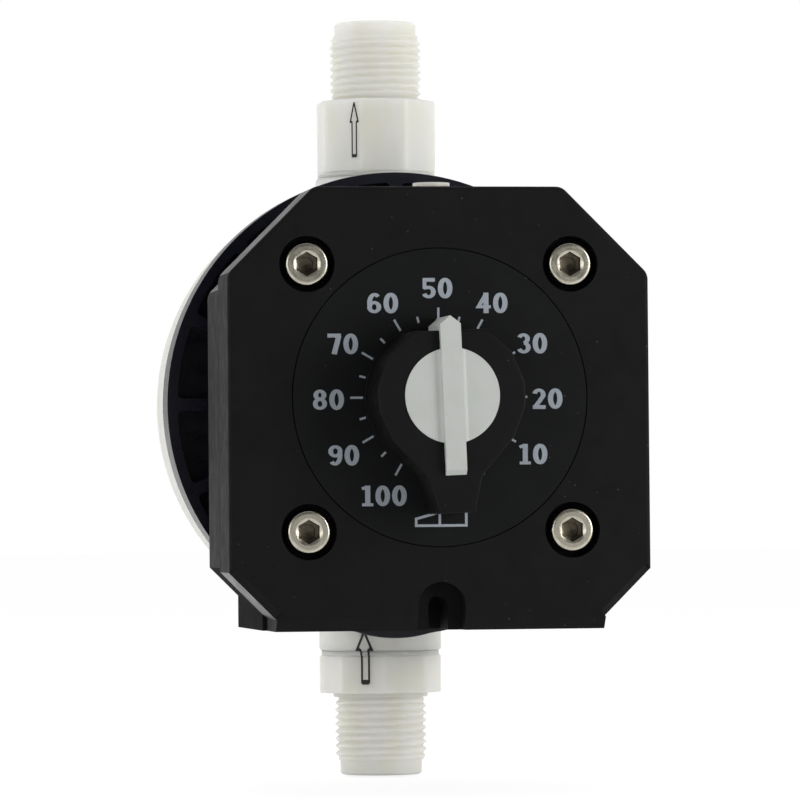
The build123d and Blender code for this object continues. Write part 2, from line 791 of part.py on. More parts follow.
def upright_between(radius, start, end):
    """A cylinder about the valves' axis between two heights, in either order."""
    return column(Circle(radius), valve_y, min(start, end), max(start, end))


def make_head_screws():
    """Socket head screws from behind, through the head into the backplate's inserts."""
    screw = socket_screw(
        head_screw_head, head_screw_head_height, head_screw_radius, head_screw_length,
        head_screw_socket, bolt_edge,
    )
    screw = Rot(0, 0, 180) * Pos(0, -front_y, 0) * screw
    top = front_y + head_back - head_screw_sink + washer_thickness + head_screw_head_height
    return group(Pos(x, top, z) * screw for x, z in ring_places(head_screw_count, head_screw_circle))


def make_head_washers():
    seat = head_back - head_screw_sink
    places = ring_places(head_screw_count, head_screw_circle)
    washers = disc(washer_radius, seat, seat + washer_thickness, places)
    return washers - disc(head_screw_radius + slip, seat, seat + washer_thickness, places)


def make_head_inserts():
    places = ring_places(head_screw_count, head_screw_circle)
    front = disc_back - head_insert_length
    return disc(head_insert_radius, front, disc_back, places) - disc(
        head_screw_radius + joint_gap, front, disc_back, places
    )


# ---- valves -------------------------------------------------------------------------------
def valve_octagon(low, high, turn):
    """Wrench octagon between two heights; a corner points to the given angle."""
    return column(RegularPolygon(octagon_radius, 8, rotation=turn), valve_y, min(low, high), max(low, high))


def valve_tail(octagon, thread, end):
    """Shoulder cone, pipe thread at its outer diameter and plain lead-in, as a turned piece."""
    shoulder = octagon_radius * cos(pi / 8)
    return turned_upright(
        valve_y,
        (0, octagon),
        (shoulder, octagon),
        (thread_radius, thread[0]),
        (thread_radius, thread[1]),
        (lead_radius, thread[1]),
        (lead_radius, end),
        (0, end),
    )


def valve_collar(side, collar):
    """Round collar on the head's flat, with its spigot in the head, above (1) or below (-1)."""
    piece = upright_between(collar_radius, side * head_flat, side * collar)
    piece = fillet(piece.edges().filter_by(GeomType.CIRCLE), collar_round)
    return piece + upright_between(spigot_radius, side * head_flat, side * (head_flat - spigot_length))


def seat_in(piece, shoulder, seat):
    """Adds the neck that carries the seat on a lower piece, and cuts the seat's pocket."""
    piece += upright_between(socket_radius - joint_gap, shoulder, seat)
    return piece - upright_between(seat_radius + joint_gap, seat - seat_thickness - joint_gap, seat)


def cage_in(piece, mouth, seat):
    """Cuts the socket for the lower piece's neck and the ball's cage in an upper piece."""
    piece -= upright_between(socket_radius, mouth, seat + joint_gap)
    top = seat + ball_rise + ball_lift + sqrt(ball_radius**2 - valve_bore**2) + joint_gap
    piece -= upright_between(cage_radius, seat, top)
    slot = Circle(cage_gap)
    slots = Sketch() + [
        Rot(0, 0, 360 * step / cage_slots) * Pos(valve_bore, 0) * slot for step in range(cage_slots)
    ]
    return piece - column(slots, valve_y, top - 0.01, top + ball_radius)


def make_discharge_base():
    """Lower piece of the discharge valve: spigot, collar and the neck with the seat."""
    piece = seat_in(valve_collar(1, discharge_collar), discharge_collar - 1, discharge_seat)
    return piece - upright_between(valve_bore, 0, discharge_seat)


def make_discharge_connector():
    """Upper piece of the discharge valve: ball cage, wrench octagon and pipe thread."""
    piece = valve_octagon(*discharge_octagon, discharge_turn)
    piece += valve_tail(discharge_octagon[1], discharge_thread, discharge_end)
    piece = cage_in(piece, discharge_octagon[0], discharge_seat)
    piece -= upright_between(valve_bore, discharge_seat, throat_top)
    return piece - upright_between(connector_bore, throat_top, discharge_end)


def make_suction_base():
    """Upper piece of the suction valve: spigot, collar and ball cage."""
    piece = cage_in(valve_collar(-1, suction_collar), -suction_collar, -suction_seat)
    return piece - upright_between(valve_bore, -suction_seat, 0)


def make_suction_connector():
    """Lower piece of the suction valve: pipe thread, wrench octagon and the seat's neck."""
    low, high = -suction_octagon[1], -suction_octagon[0]
    piece = valve_octagon(low, high, suction_turn)
    thread = [-height for height in suction_thread]
    piece += valve_tail(low, thread, -suction_end)
    piece = seat_in(piece, high - 1, -suction_seat)
    return piece - upright_between(connector_bore, -suction_end, -suction_seat)


def make_valve_seat(seat):
    """Seat ring with a sharp inner edge for the ball and a rebate for its rubber ring."""
    bottom = seat - seat_thickness
    rebate = 2 * seat_ring_section + joint_gap
    return turned_upright(
        valve_y,
        (seat_bore, bottom),
        (seat_radius, bottom),
        (seat_radius, seat - rebate),
        (seat_radius - rebate, seat - rebate),
        (seat_radius - rebate, seat),
        (seat_bore, seat),
    )


def make_valve_ring(seat):
    """Rubber ring in the seat's rebate."""
    return upright_ring(valve_y, seat_radius - seat_ring_section, seat_ring_section, seat - seat_ring_section)


def make_valve_ball(seat):
    return Pos(0, valve_y, axis_height + seat + ball_rise) * Sphere(ball_radius)


# ---- air connection -----------------------------------------------------------------------
def make_air_sleeve():
    """Brass cartridge with the tube's seat below, and room for the ring and the collet above."""
    seat_top = sleeve_foot + air_tube_seat
    room = collet_radius + slip
    bore = turned_upright(
        air_y,
        (0, sleeve_foot - 1),
        (air_channel_radius, sleeve_foot - 1),
        (air_channel_radius, sleeve_foot + 1),
        (air_tube_radius, sleeve_foot + 1),
        (air_tube_radius, seat_top + 1),
        (room + air_ring_section, seat_top + 1),
        (room + air_ring_section, seat_top + 1 + 2 * air_ring_section + 2 * slip),
        (room, seat_top + 1 + 2 * air_ring_section + 2 * slip),
        (room, sleeve_top + 1),
        (0, sleeve_top + 1),
    )
    return column(Circle(sleeve_radius), air_y, sleeve_foot, sleeve_top) - bore


def make_air_ring():
    centre = air_tube_radius + air_ring_section + 2 * slip
    height = sleeve_foot + air_tube_seat + 1 + air_ring_section + slip
    return upright_ring(air_y, centre, air_ring_section, height)


def make_air_collet():
    """Pale release collet, pressed down to free the tube."""
    flange_foot = sleeve_top + collet_travel + slip
    piece = column(Circle(collet_radius), air_y, flange_foot - collet_length, flange_foot)
    piece += column(Circle(collet_flange_radius), air_y, flange_foot, flange_foot + collet_flange)
    return piece - column(Circle(air_tube_radius), air_y, sleeve_foot, crown_height + 10)


# ---- the assembly -------------------------------------------------------------------------
parts = {
    "front_cover": make_front_cover(),
    "cover_gasket": make_cover_gasket(),
    "housing_body": make_housing_body(),
    "foot_inserts": make_foot_inserts(),
    "cover_screws": make_cover_screws(),
    "scale_plate": make_scale_plate(),
    "knob_body": make_knob_body(),
    "knob_pointer": make_knob_pointer(),
    "knob_nut": make_knob_nut(),
    "adjusting_spindle": make_adjusting_spindle(),
    "spindle_circlip": make_spindle_circlip(),
    "spindle_ring": rubber_ring(journal_radius - ring_section, ring_section, ring_depth),
    "spindle_bush": make_spindle_bush(),
    "stop_nut": make_stop_nut(),
    "piston": make_piston(),
    "piston_seal": make_piston_seal(),
    "return_spring": make_return_spring(),
    "push_rod": make_push_rod(),
    "rod_bush": make_rod_bush(),
    "rod_seal": make_rod_seal(),
    "backplate": make_backplate(),
    "backplate_screws": make_backplate_screws(),
    "diaphragm": make_diaphragm(),
    "diaphragm_core": make_diaphragm_core(),
    "dosing_head": make_dosing_head(),
    "head_screws": make_head_screws(),
    "head_washers": make_head_washers(),
    "head_inserts": make_head_inserts(),
    "discharge_valve_base": make_discharge_base(),
    "discharge_valve_connector": make_discharge_connector(),
    "discharge_seat": make_valve_seat(discharge_seat),
    "discharge_seat_ring": make_valve_ring(discharge_seat),
    "discharge_ball": make_valve_ball(discharge_seat),
    "suction_valve_base": make_suction_base(),
    "suction_valve_connector": make_suction_connector(),
    "suction_seat": make_valve_seat(-suction_seat),
    "suction_seat_ring": make_valve_ring(-suction_seat),
    "suction_ball": make_valve_ball(-suction_seat),
    "air_sleeve": make_air_sleeve(),
    "air_ring": make_air_ring(),
    "air_collet": make_air_collet(),
}

os.makedirs("parts", exist_ok=True)
for node, shape in parts.items():
    export_step(shape, f"parts/{node}.step")
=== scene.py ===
"""Dressing of a diaphragm metering pump.

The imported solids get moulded, machined and rubber finishes. Cover, body, knob and pointer are
copies with broken edges and a few points moved. New pieces give the valves their pipe threads,
the screws their knurls and key holes, the dial its print and the valves their flow arrows. A
white room, four soft lamps and a camera go round the pump.
"""

import math

import bmesh
import bpy
import numpy as np
from bpy.props import FloatProperty, FloatVectorProperty, IntProperty, PointerProperty
from mathutils import Matrix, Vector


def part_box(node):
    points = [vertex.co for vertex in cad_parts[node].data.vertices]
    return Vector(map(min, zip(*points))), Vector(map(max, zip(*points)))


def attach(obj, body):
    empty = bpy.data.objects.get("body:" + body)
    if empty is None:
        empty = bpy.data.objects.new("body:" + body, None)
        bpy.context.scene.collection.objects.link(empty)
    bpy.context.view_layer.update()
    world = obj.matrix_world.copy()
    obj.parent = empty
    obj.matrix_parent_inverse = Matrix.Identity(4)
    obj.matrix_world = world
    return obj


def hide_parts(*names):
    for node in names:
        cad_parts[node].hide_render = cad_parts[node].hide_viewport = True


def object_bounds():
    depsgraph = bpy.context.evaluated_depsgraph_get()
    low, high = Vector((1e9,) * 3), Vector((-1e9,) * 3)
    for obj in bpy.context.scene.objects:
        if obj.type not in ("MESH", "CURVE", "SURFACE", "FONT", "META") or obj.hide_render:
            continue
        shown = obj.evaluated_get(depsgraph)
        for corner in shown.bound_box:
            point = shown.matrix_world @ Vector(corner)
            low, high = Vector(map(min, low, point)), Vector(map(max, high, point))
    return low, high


bl_info = {
    "name": "Metering Pump Dressing",
    "version": (1, 0, 0),
    "blender": (4, 5, 0),
    "location": "View3D > Sidebar > Pump",
    "description": "Finishes, threads, screws, dial print and studio for a metering pump",
    "category": "Object",
}

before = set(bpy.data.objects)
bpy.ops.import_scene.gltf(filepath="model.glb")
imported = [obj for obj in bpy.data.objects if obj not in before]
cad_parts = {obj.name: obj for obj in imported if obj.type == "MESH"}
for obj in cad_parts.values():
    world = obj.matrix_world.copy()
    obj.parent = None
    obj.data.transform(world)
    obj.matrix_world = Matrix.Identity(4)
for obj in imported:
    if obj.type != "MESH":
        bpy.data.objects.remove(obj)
cad_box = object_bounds()
MM = 0.001


# ---- what model.glb gives -------------------------------------------------------------------
def middle(node):
    """Centre of a solid's box, in metres."""
    low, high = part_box(node)
    return (np.array(low) + np.array(high)) / 2


dial_middle = middle("scale_plate")
dial_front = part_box("scale_plate")[0].y
drive_height = dial_middle[2]
valve_middle = middle("discharge_valve_connector")


def vectors(items, key):
    """One row of three values for each of a mesh's points or faces."""
    values = np.empty(len(items) * 3)
    items.foreach_get(key, values)
    return values.reshape(-1, 3)


# ---- settings -------------------------------------------------------------------------------
def length(name, description, value):
    """A length property, in metres, from a value in millimetres."""
    return FloatProperty(
        name=name, description=description, default=value * MM, subtype="DISTANCE", unit="LENGTH",
        min=0.0, precision=5,
    )


def angle(name, description, degrees):
    """An angle property, from a value in degrees."""
    return FloatProperty(
        name=name, description=description, default=math.radians(degrees), subtype="ANGLE",
        unit="ROTATION",
    )


def shade(name, description, red, green, blue):
    """A colour property as a screen shows it, from three values of 0 to 255."""
    return FloatVectorProperty(
        name=name, description=description, default=(red / 255, green / 255, blue / 255),
        subtype="COLOR_GAMMA", size=3, min=0.0, max=1.0,
    )


def share(name, description, value):
    """A plain number from 0 to 1."""
    return FloatProperty(
        name=name, description=description, default=value, min=0.0, max=1.0, subtype="FACTOR"
    )


class PumpColours(bpy.types.PropertyGroup):
    """Colours of the pump's finishes."""

    housing: shade("Housing", "Black moulded housing", 12, 12, 13)
    dial: shade("Dial", "Black dial plate", 11, 12, 13)
    knob: shade("Knob", "Black adjusting knob", 11, 11, 12)
    cap: shade("Cap", "Pale knob cap and pointer", 177, 180, 176)
    backplate: shade("Backplate", "Navy backplate", 8, 9, 20)
    head: shade("Head", "White dosing head", 218, 217, 213)
    valve: shade("Valve", "Milky valves", 222, 221, 216)
    print: shade("Print", "Print on the dial", 150, 157, 165)
    ink: shade("Ink", "Flow arrows on the valves", 24, 20, 14)
    steel: shade("Steel", "Stainless screws", 190, 186, 172)


class PumpPrint(bpy.types.PropertyGroup):
    """Sizes of the dial's print and of the flow arrows."""

    digit_height: length("Digit height", "Height of the dial's numbers", 4.8)
    number_radius: length("Number radius", "From the dial's centre to the numbers", 26.0)
    stem: length("Stem", "Width of the digits' upright strokes", 1.24)
    bar: length("Bar", "Height of the digits' level strokes", 0.8)
    tick_inner: length("Tick inner", "Where the ticks start", 18.0)
    tick_outer: length("Tick outer", "Where the long ticks end", 21.0)
    minor_outer: length("Short tick outer", "Where the short ticks end", 19.5)
    tick_width: length("Tick width", "Width of a tick", 0.52)
    film: length("Film", "Thickness of the print", 0.03)
    arrow_line: length("Arrow line", "Line width of the flow arrows", 0.55)


class PumpValves(bpy.types.PropertyGroup):
    """Sizes of the valves' threaded connectors; heights count from the drive axis."""

    octagon_corner: length("Octagon corner", "Radius over the wrench octagon's corners", 15.4)
    shoulder: length("Shoulder", "Radius of the groove between collar and octagon", 14.75)
    discharge_turn: angle("Discharge turn", "Where a corner of the upper octagon points", 21.5)
    suction_turn: angle("Suction turn", "Where a corner of the lower octagon points", -4.7)
    crest: length("Crest", "Outer radius of the pipe thread", 11.455)
    pitch: length("Pitch", "Pitch of the pipe thread", 1.814)
    depth: length("Depth", "Depth of the pipe thread", 0.85)
    step: length("Step", "Radius of the step between octagon and thread", 11.85)
    lead: length("Lead", "Radius of the plain lead-in", 10.25)
    bore: length("Bore", "Radius of the passage", 5.0)
    throat: length("Throat", "Radius of the passage over the ball's cage", 4.7)
    cage: length("Cage", "Radius of the ball's cage", 6.45)
    collar: length("Collar", "Radius of the round collars next to the head", 15.3)
    socket: length("Socket", "Radius of the joint between the two halves", 11.5)
    seat_pocket: length("Seat pocket", "Radius of the seat's pocket", 8.65)


class PumpScrews(bpy.types.PropertyGroup):
    """Sizes of the socket head screws; those of the head are smaller."""

    cover_head: length("Cover screw head", "Head radius of a cover screw", 5.0)
    cover_key: length("Cover screw key", "Key width of a cover screw", 5.0)
    back_head: length("Head screw head", "Head radius of a screw of the dosing head", 4.25)
    back_key: length("Head screw key", "Key width of a screw of the dosing head", 4.0)
    ridges: IntProperty(name="Knurl ridges", description="Ridges round a head", default=40, min=8)
    knurl: length("Knurl", "Depth of the knurl", 0.16)


class PumpStage(bpy.types.PropertyGroup):
    """The room, the lamps and the camera."""

    floor_radius: length("Floor radius", "Radius of the round floor", 9000)
    floor_gap: length("Floor gap", "Between the pump's lowest point and the floor", 0.5)
    lamps: FloatProperty(name="Lamps", description="Strength of all lamps", default=1.0, min=0)
    surround: share("Surround", "How bright the room behind the pump is", 0.78)
    front: share("Front", "How bright the room before the dial is", 0.16)
    lens: FloatProperty(name="Lens", description="Focal length in millimetres", default=229.5)
    yaw: angle("Yaw", "How far the camera turns to the pump's right", 9.212)
    pitch: angle("Pitch", "How far the camera looks up", 1.336)
    roll: angle("Roll", "How far the camera leans", -0.499)


# ---- finishes -------------------------------------------------------------------------------
def linear(colour):
    """A screen colour as light: the sRGB curve undone, channel by channel."""
    c = np.asarray(colour, float)
    return tuple(np.where(c <= 0.04045, c / 12.92, ((c + 0.055) / 1.055) ** 2.4)) + (1.0,)


def feed(tree, value, socket):
    """Sets an input by value, or joins it to an output."""
    if isinstance(value, bpy.types.NodeSocket):
        tree.links.new(value, socket)
    else:
        socket.default_value = value


def new_node(tree, kind, **inputs):
    """A new node with its inputs set by value or joined to an output."""
    node = tree.nodes.new(kind)
    for socket, value in inputs.items():
        feed(tree, value, node.inputs[socket.replace("_", " ")])
    return node


def maths(tree, operation, a, b):
    """What a sum gives on two values or outputs."""
    node = tree.nodes.new("ShaderNodeMath")
    node.operation = operation
    for socket, value in zip(node.inputs, (a, b)):
        feed(tree, value, socket)
    return node.outputs["Value"]


class Finish:
    """A material in the making: one shader, and nodes that vary it over the surface."""

    def __init__(self, name, colour, roughness, **settings):
        self.material = bpy.data.materials.new(name)
        self.material.use_nodes = True
        self.tree = self.material.node_tree
        self.shader = next(n for n in self.tree.nodes if n.type == "BSDF_PRINCIPLED")
        self.colour = linear(colour)
        self.set("Base Color", self.colour)
        self.set("Roughness", roughness)
        for socket, value in settings.items():
            self.set(socket.replace("_", " "), value)
        self.material.diffuse_color = self.colour
        self.place = self.node("ShaderNodeTexCoord").outputs["Object"]

    def set(self, socket, value):
        self.shader.inputs[socket].default_value = value

    def node(self, kind, **inputs):
        return new_node(self.tree, kind, **inputs)

    def follow_skin(self):
        """Patterns follow the piece's own skin map from here on."""
        self.place = self.node("ShaderNodeUVMap").outputs["UV"]

    def stretched(self, x, y, z):
        """The place, stretched along each axis."""
        return self.node("ShaderNodeMapping", Vector=self.place, Scale=(x, y, z)).outputs["Vector"]

    def noise(self, grain, detail=2.0, rough=0.5, place=None):
        """Cloudy noise whose patches are about a grain across, in millimetres."""
        node = self.node("ShaderNodeTexNoise", Vector=place or self.place)
        node.inputs["Scale"].default_value = 1 / (grain * MM)
        node.inputs["Detail"].default_value = detail
        node.inputs["Roughness"].default_value = rough
        return node.outputs["Fac"]

    def specks(self, spacing, size):
        """1 inside small scattered dots, 0 between them; spacing and size in millimetres."""
        node = self.node("ShaderNodeTexVoronoi", Vector=self.place, Scale=1 / (spacing * MM))
        edge = size / spacing
        return self.mapped(node.outputs["Distance"], edge * 0.6, edge, 1.0, 0.0)

    def mapped(self, value, low, high, to_low, to_high):
        """A value moved from one range to another, held at its ends."""
        node = self.node(
            "ShaderNodeMapRange", Value=value, From_Min=low, From_Max=high, To_Min=to_low,
            To_Max=to_high,
        )
        return node.outputs["Result"]

    def times(self, a, b):
        return maths(self.tree, "MULTIPLY", a, b)

    def tint(self, amount, colour):
        """The base colour turns to another one where the amount is 1."""
        base = self.shader.inputs["Base Color"]
        node = self.node("ShaderNodeMix")
        node.data_type = "RGBA"
        first, second = (s for s in node.inputs if s.type == "RGBA")
        feed(self.tree, base.links[0].from_socket if base.links else base.default_value, first)
        second.default_value = colour
        self.tree.links.new(amount, node.inputs["Factor"])
        out = next(s for s in node.outputs if s.type == "RGBA")
        self.tree.links.new(out, base)

    def mottle(self, grain, depth):
        """The base colour drifts darker and lighter by a share, in patches."""
        r, g, b, _ = self.colour
        self.tint(
            self.mapped(self.noise(grain, 3.0), 0.35, 0.65, 0.0, 1.0),
            (r * (1 + depth), g * (1 + depth), b * (1 + depth), 1.0),
        )

    def polish(self, value, low, high):
        """Roughness runs from low to high as a pattern runs from 0.3 to 0.7."""
        self.tree.links.new(
            self.mapped(value, 0.3, 0.7, low, high), self.shader.inputs["Roughness"]
        )

    def emboss(self, value, depth, strength=1.0):
        """A pattern raised by a depth in millimetres."""
        normal = self.shader.inputs["Normal"]
        node = self.node("ShaderNodeBump", Height=value, Strength=strength, Distance=depth * MM)
        if normal.links:
            self.tree.links.new(normal.links[0].from_socket, node.inputs["Normal"])
        self.tree.links.new(node.outputs["Normal"], normal)


def moulded_black(name, colour, gloss=0.62, grain=0.22, bite=0.008, dust=0.5):
    """Black engineering plastic: eroded tool grain, drifting sheen, a little pale dust."""
    finish = Finish(name, colour, gloss, Specular_IOR_Level=0.1)
    finish.mottle(9.0, 0.25)
    finish.polish(finish.noise(5.0, 3.0), gloss - 0.05, gloss + 0.08)
    finish.emboss(finish.noise(grain, 2.0), bite)
    scattered = finish.mapped(finish.noise(14.0, 1.0), 0.5, 0.64, 0.0, 1.0)
    dots = finish.times(finish.specks(2.6, 0.2), scattered)
    finish.tint(finish.times(dots, dust), (0.12, 0.13, 0.13, 1.0))
    return finish.material


def navy_plastic(colours):
    """Dark navy glass-filled plastic: streaky flow marks and a satin skin."""
    finish = Finish("navy_plastic", colours.backplate, 0.3, Specular_IOR_Level=0.3)
    finish.mottle(6.0, 0.3)
    flow = finish.noise(1.6, 3.0, 0.6, finish.stretched(0.35, 1.0, 1.0))
    finish.polish(flow, 0.26, 0.36)
    finish.emboss(flow, 0.02)
    finish.emboss(finish.noise(0.3, 2.0), 0.01)
    return finish.material


def milky_plastic(name, colour, gloss, glow):
    """Milky fluoropolymer or filled plastic: light soaks in under a waxy skin, and upright flow
    streaks are a little yellower."""
    finish = Finish(
        name, colour, gloss, Specular_IOR_Level=0.2, Subsurface_Weight=glow,
        Subsurface_Radius=(1.0, 0.96, 0.88), Subsurface_Scale=0.009,
    )
    r, g, b, _ = finish.colour
    streak = finish.noise(6.0, 2.0, 0.5, finish.stretched(1.0, 1.0, 0.25))
    finish.tint(finish.mapped(streak, 0.4, 0.7, 0.0, 0.8), (r * 0.95, g * 0.95, b * 0.87, 1.0))
    finish.polish(finish.noise(2.5, 3.0), gloss - 0.05, gloss + 0.1)
    finish.emboss(finish.noise(1.6, 2.0), 0.006)
    return finish.material


def pale_plastic(colours):
    """Pale grey cap and pointer: fine grain, a faint cloud, soft gloss."""
    finish = Finish("pale_plastic", colours.cap, 0.42, Specular_IOR_Level=0.45)
    r, g, b, _ = finish.colour
    finish.tint(
        finish.mapped(finish.noise(3.5, 3.0), 0.4, 0.7, 0.0, 0.5),
        (r * 0.92, g * 0.92, b * 0.91, 1.0),
    )
    finish.polish(finish.noise(1.2, 3.0), 0.38, 0.5)
    finish.emboss(finish.noise(0.18, 2.0), 0.01)
    return finish.material


def turned_metal(name, colour, gloss, follow_skin=False):
    """Machined metal: fine tool lines and a mottled bloom."""
    finish = Finish(name, colour, gloss, Metallic=1.0)
    if follow_skin:
        finish.follow_skin()
        lines = finish.noise(1000.0, 2.0, 0.6, finish.stretched(6.0, 90.0, 1.0))
        bloom = finish.noise(1000.0, 3.0, 0.6, finish.stretched(9.0, 7.0, 1.0))
    else:
        lines = finish.noise(0.12, 2.0, 0.6)
        bloom = finish.noise(2.2, 3.0, 0.6)
    r, g, b, _ = finish.colour
    finish.tint(finish.mapped(bloom, 0.35, 0.7, 0.0, 1.0), (r * 0.72, g * 0.7, b * 0.66, 1.0))
    finish.polish(bloom, gloss - 0.08, gloss + 0.14)
    finish.emboss(lines, 0.01, 0.6)
    return finish.material


def black_rubber():
    """Matt black rubber with a powdery bloom."""
    finish = Finish("black_rubber", (0.12, 0.12, 0.12), 0.7, Specular_IOR_Level=0.3)
    finish.mottle(1.5, 0.5)
    finish.emboss(finish.noise(0.15, 3.0), 0.02)
    return finish.material


def fired_ceramic():
    """White ceramic ball: glassy, with the faintest specks."""
    finish = Finish("fired_ceramic", (0.93, 0.92, 0.88), 0.12)
    finish.tint(finish.times(finish.specks(1.1, 0.1), 0.5), (0.4, 0.36, 0.3, 1.0))
    finish.polish(finish.noise(1.0), 0.08, 0.2)
    return finish.material


def print_film(name, colour, wear):
    """Pad-printed ink: a thin matt film whose cover varies a little, worn at places."""
    finish = Finish(name, colour, 0.55, Specular_IOR_Level=0.3)
    r, g, b, _ = finish.colour
    thin = finish.mapped(finish.noise(0.2, 4.0, 0.75), 0.42, 0.7, 0.0, wear)
    finish.tint(thin, (r * 0.35, g * 0.35, b * 0.36, 1.0))
    finish.polish(finish.noise(0.8), 0.45, 0.65)
    finish.emboss(finish.noise(0.2, 2.0), 0.004)
    return finish.material


def dress(material, *nodes):
    """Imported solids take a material."""
    for name in nodes:
        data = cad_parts[name].data
        data.materials.clear()
        data.materials.append(material)


# ---- skins: closed meshes from grids of points ------------------------------------------------
def new_piece(name, points, faces, material, skin_map=None, crease=30.0):
    """A mesh object in place: smooth faces, with edges sharper than the crease kept crisp."""
    mesh = bpy.data.meshes.new(name)
    mesh.from_pydata(np.asarray(points).reshape(-1, 3), [], faces)
    if skin_map is not None:
        layer = mesh.uv_layers.new(name="UVMap")
        layer.data.foreach_set("uv", np.asarray(skin_map, np.float32).ravel())
    mesh.shade_smooth()
    mesh.set_sharp_from_angle(angle=math.radians(crease))
    mesh.materials.append(material)
    piece = bpy.data.objects.new(name, mesh)
    bpy.context.scene.collection.objects.link(piece)
    return piece


def grid_faces(rows, columns, wrap_rows=False):
    """Quads of a grid whose columns close on themselves, and whose rows may too. Each quad
    turns columns first, then rows, so a grid that climbs outside faces outwards."""
    i = np.arange(rows if wrap_rows else rows - 1)[:, None]
    j = np.arange(columns)[None, :]
    up, on = (i + 1) % rows, (j + 1) % columns
    quads = np.stack([i * columns + j, i * columns + on, up * columns + on, up * columns + j], -1)
    return quads.reshape(-1, 4)


def polar(radius, turn, rise):
    """Points round an upright axis from grids of radius, turn and height."""
    shape = np.broadcast(radius, turn, rise).shape
    grid = [radius * np.cos(turn), radius * np.sin(turn), rise]
    return np.stack([np.broadcast_to(g, shape) for g in grid], -1)


def polygon_radius(turn, corner, sides, first_corner, rounding):
    """Distance to a regular polygon's wall in each direction: the flat's distance over the
    cosine of the angle from its middle, and never past the rounded corner."""
    half = math.pi / sides
    away = (turn - first_corner) % (2 * half) - half
    return np.minimum(corner * math.cos(half) / np.cos(away), corner - rounding)


OCTAGON_ROUND = 0.12 * MM  # how much the wrench octagons' corners are rounded


def octagon_radius(turn, corner, first_corner):
    """Distance to a wrench octagon's wall in each direction."""
    return polygon_radius(turn, corner, 8, first_corner, OCTAGON_ROUND)


RUN_OUT = 0.75  # share of a pitch over which the thread fades at its ends


def thread_radius(turn, rise, crest, depth, pitch, start, end):
    """Right-hand thread: a rounded ridge, a cosine wave, that climbs one pitch a turn."""
    phase = rise / pitch - turn / (2 * math.pi)
    ridge = 0.5 - 0.5 * np.cos(2 * math.pi * phase)
    run_out = np.clip(np.minimum(rise - start, end - rise) / (RUN_OUT * pitch), 0, 1)
    return crest - depth * (1 - ridge * run_out)


# ---- imported solids, finished ------------------------------------------------------------------
MERGE_WITHIN = 0.002 * MM  # points closer than this are one
FLAT_WITHIN = math.radians(0.3)  # triangles closer to one plane than this are one face
SHARP_OVER = math.radians(28)  # edges sharper than this stay crisp
ROUND_OVER = math.radians(32)  # edges sharper than this are broken by a small round


def reshaped(node, body, materials, move, edge=0.25, choose=None):
    """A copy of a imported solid, its triangles merged into flat faces, with its points moved by a
    rule that takes and gives whole arrays, in millimetres from the drive axis and the dial's
    front. Its sharp edges are broken by a small round. choose gives each face, from its centre
    and its normal, the number of its material."""
    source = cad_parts[node].data
    shell = bmesh.new()
    shell.from_mesh(source)
    bmesh.ops.remove_doubles(shell, verts=shell.verts, dist=MERGE_WITHIN)
    bmesh.ops.dissolve_limit(
        shell, angle_limit=FLAT_WITHIN, verts=shell.verts, edges=shell.edges, delimit={"NORMAL"}
    )
    mesh = bpy.data.meshes.new(node + "_finished")
    shell.to_mesh(mesh)
    shell.free()
    origin = np.array([dial_middle[0], dial_front, drive_height])
    points = (vectors(mesh.vertices, "co") - origin) / MM
    mesh.vertices.foreach_set("co", (move(points) * MM + origin).ravel())
    for material in materials:
        mesh.materials.append(material)
    if choose is not None:
        centres = (vectors(mesh.polygons, "center") - origin) / MM
        picked = choose(centres, vectors(mesh.polygons, "normal"))
        mesh.polygons.foreach_set("material_index", picked.astype(np.int32))
    mesh.shade_smooth()
    mesh.set_sharp_from_angle(angle=SHARP_OVER)
    piece = bpy.data.objects.new(node + "_finished", mesh)
    bpy.context.scene.collection.objects.link(piece)
    broken = piece.modifiers.new("edges", "BEVEL")
    broken.width = edge * MM
    broken.segments = 2
    broken.limit_method = "ANGLE"
    broken.angle_limit = ROUND_OVER
    broken.harden_normals = True
    flat = piece.modifiers.new("flats", "WEIGHTED_NORMAL")
    flat.keep_sharp = True
    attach(piece, body)
    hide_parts(node)
    return piece


def between(values, low, high):
    """True where a value lies between two others."""
    return (values > low) & (values < high)


def lower_flanks(points):
    """The cover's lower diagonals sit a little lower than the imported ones, down to the lip."""
    drop = 1.0
    x, y, z = points.T
    flank = (np.abs(x) > 36) & between(z, -53, -38.2)
    return np.stack([x, y, z - drop * flank], 1)


def square_chamfers(points):
    """The body's upper chamfers run at 45 degrees, and its lower diagonals end further in."""
    top_shift, hip_shift = 3.4, 2.7
    x, y, z = points.T
    top = (z > 44) & (np.abs(x) > 20)
    hip = between(z, -51.5, -50) & between(np.abs(x), 38, 39.5)
    return np.stack([x - np.sign(x) * (top_shift * top + hip_shift * hip), y, z], 1)


def walls(centres, normals):
    """1 for the diagonal walls, which are the smoothest, 2 for the upright side walls, and 3 for
    the rough walls down at the foot block."""
    slanted, level = 0.5, 0.9
    x, y, z = centres.T
    across, _, up = np.abs(normals).T
    diagonal = (across > slanted) & (up > slanted)
    upright = (across > level) & (np.abs(x) > 44)
    block = (np.abs(x) > 39.8) & (y > 18) & (z < -34)
    return np.select([block, diagonal, upright], [3, 1, 2], 0)


def grown(factor):
    """Everything a little larger round the drive axis."""
    return lambda points: points * np.array([factor, 1.0, factor])


# ---- housing, head and inner pieces -----------------------------------------------------------
BRASS = (0.80, 0.66, 0.40)
KNOB_GROWTH, POINTER_GROWTH = 1.022, 1.027
KNOB_EDGE = 0.15  # millimetres; the knob's edges are crisper than the housing's


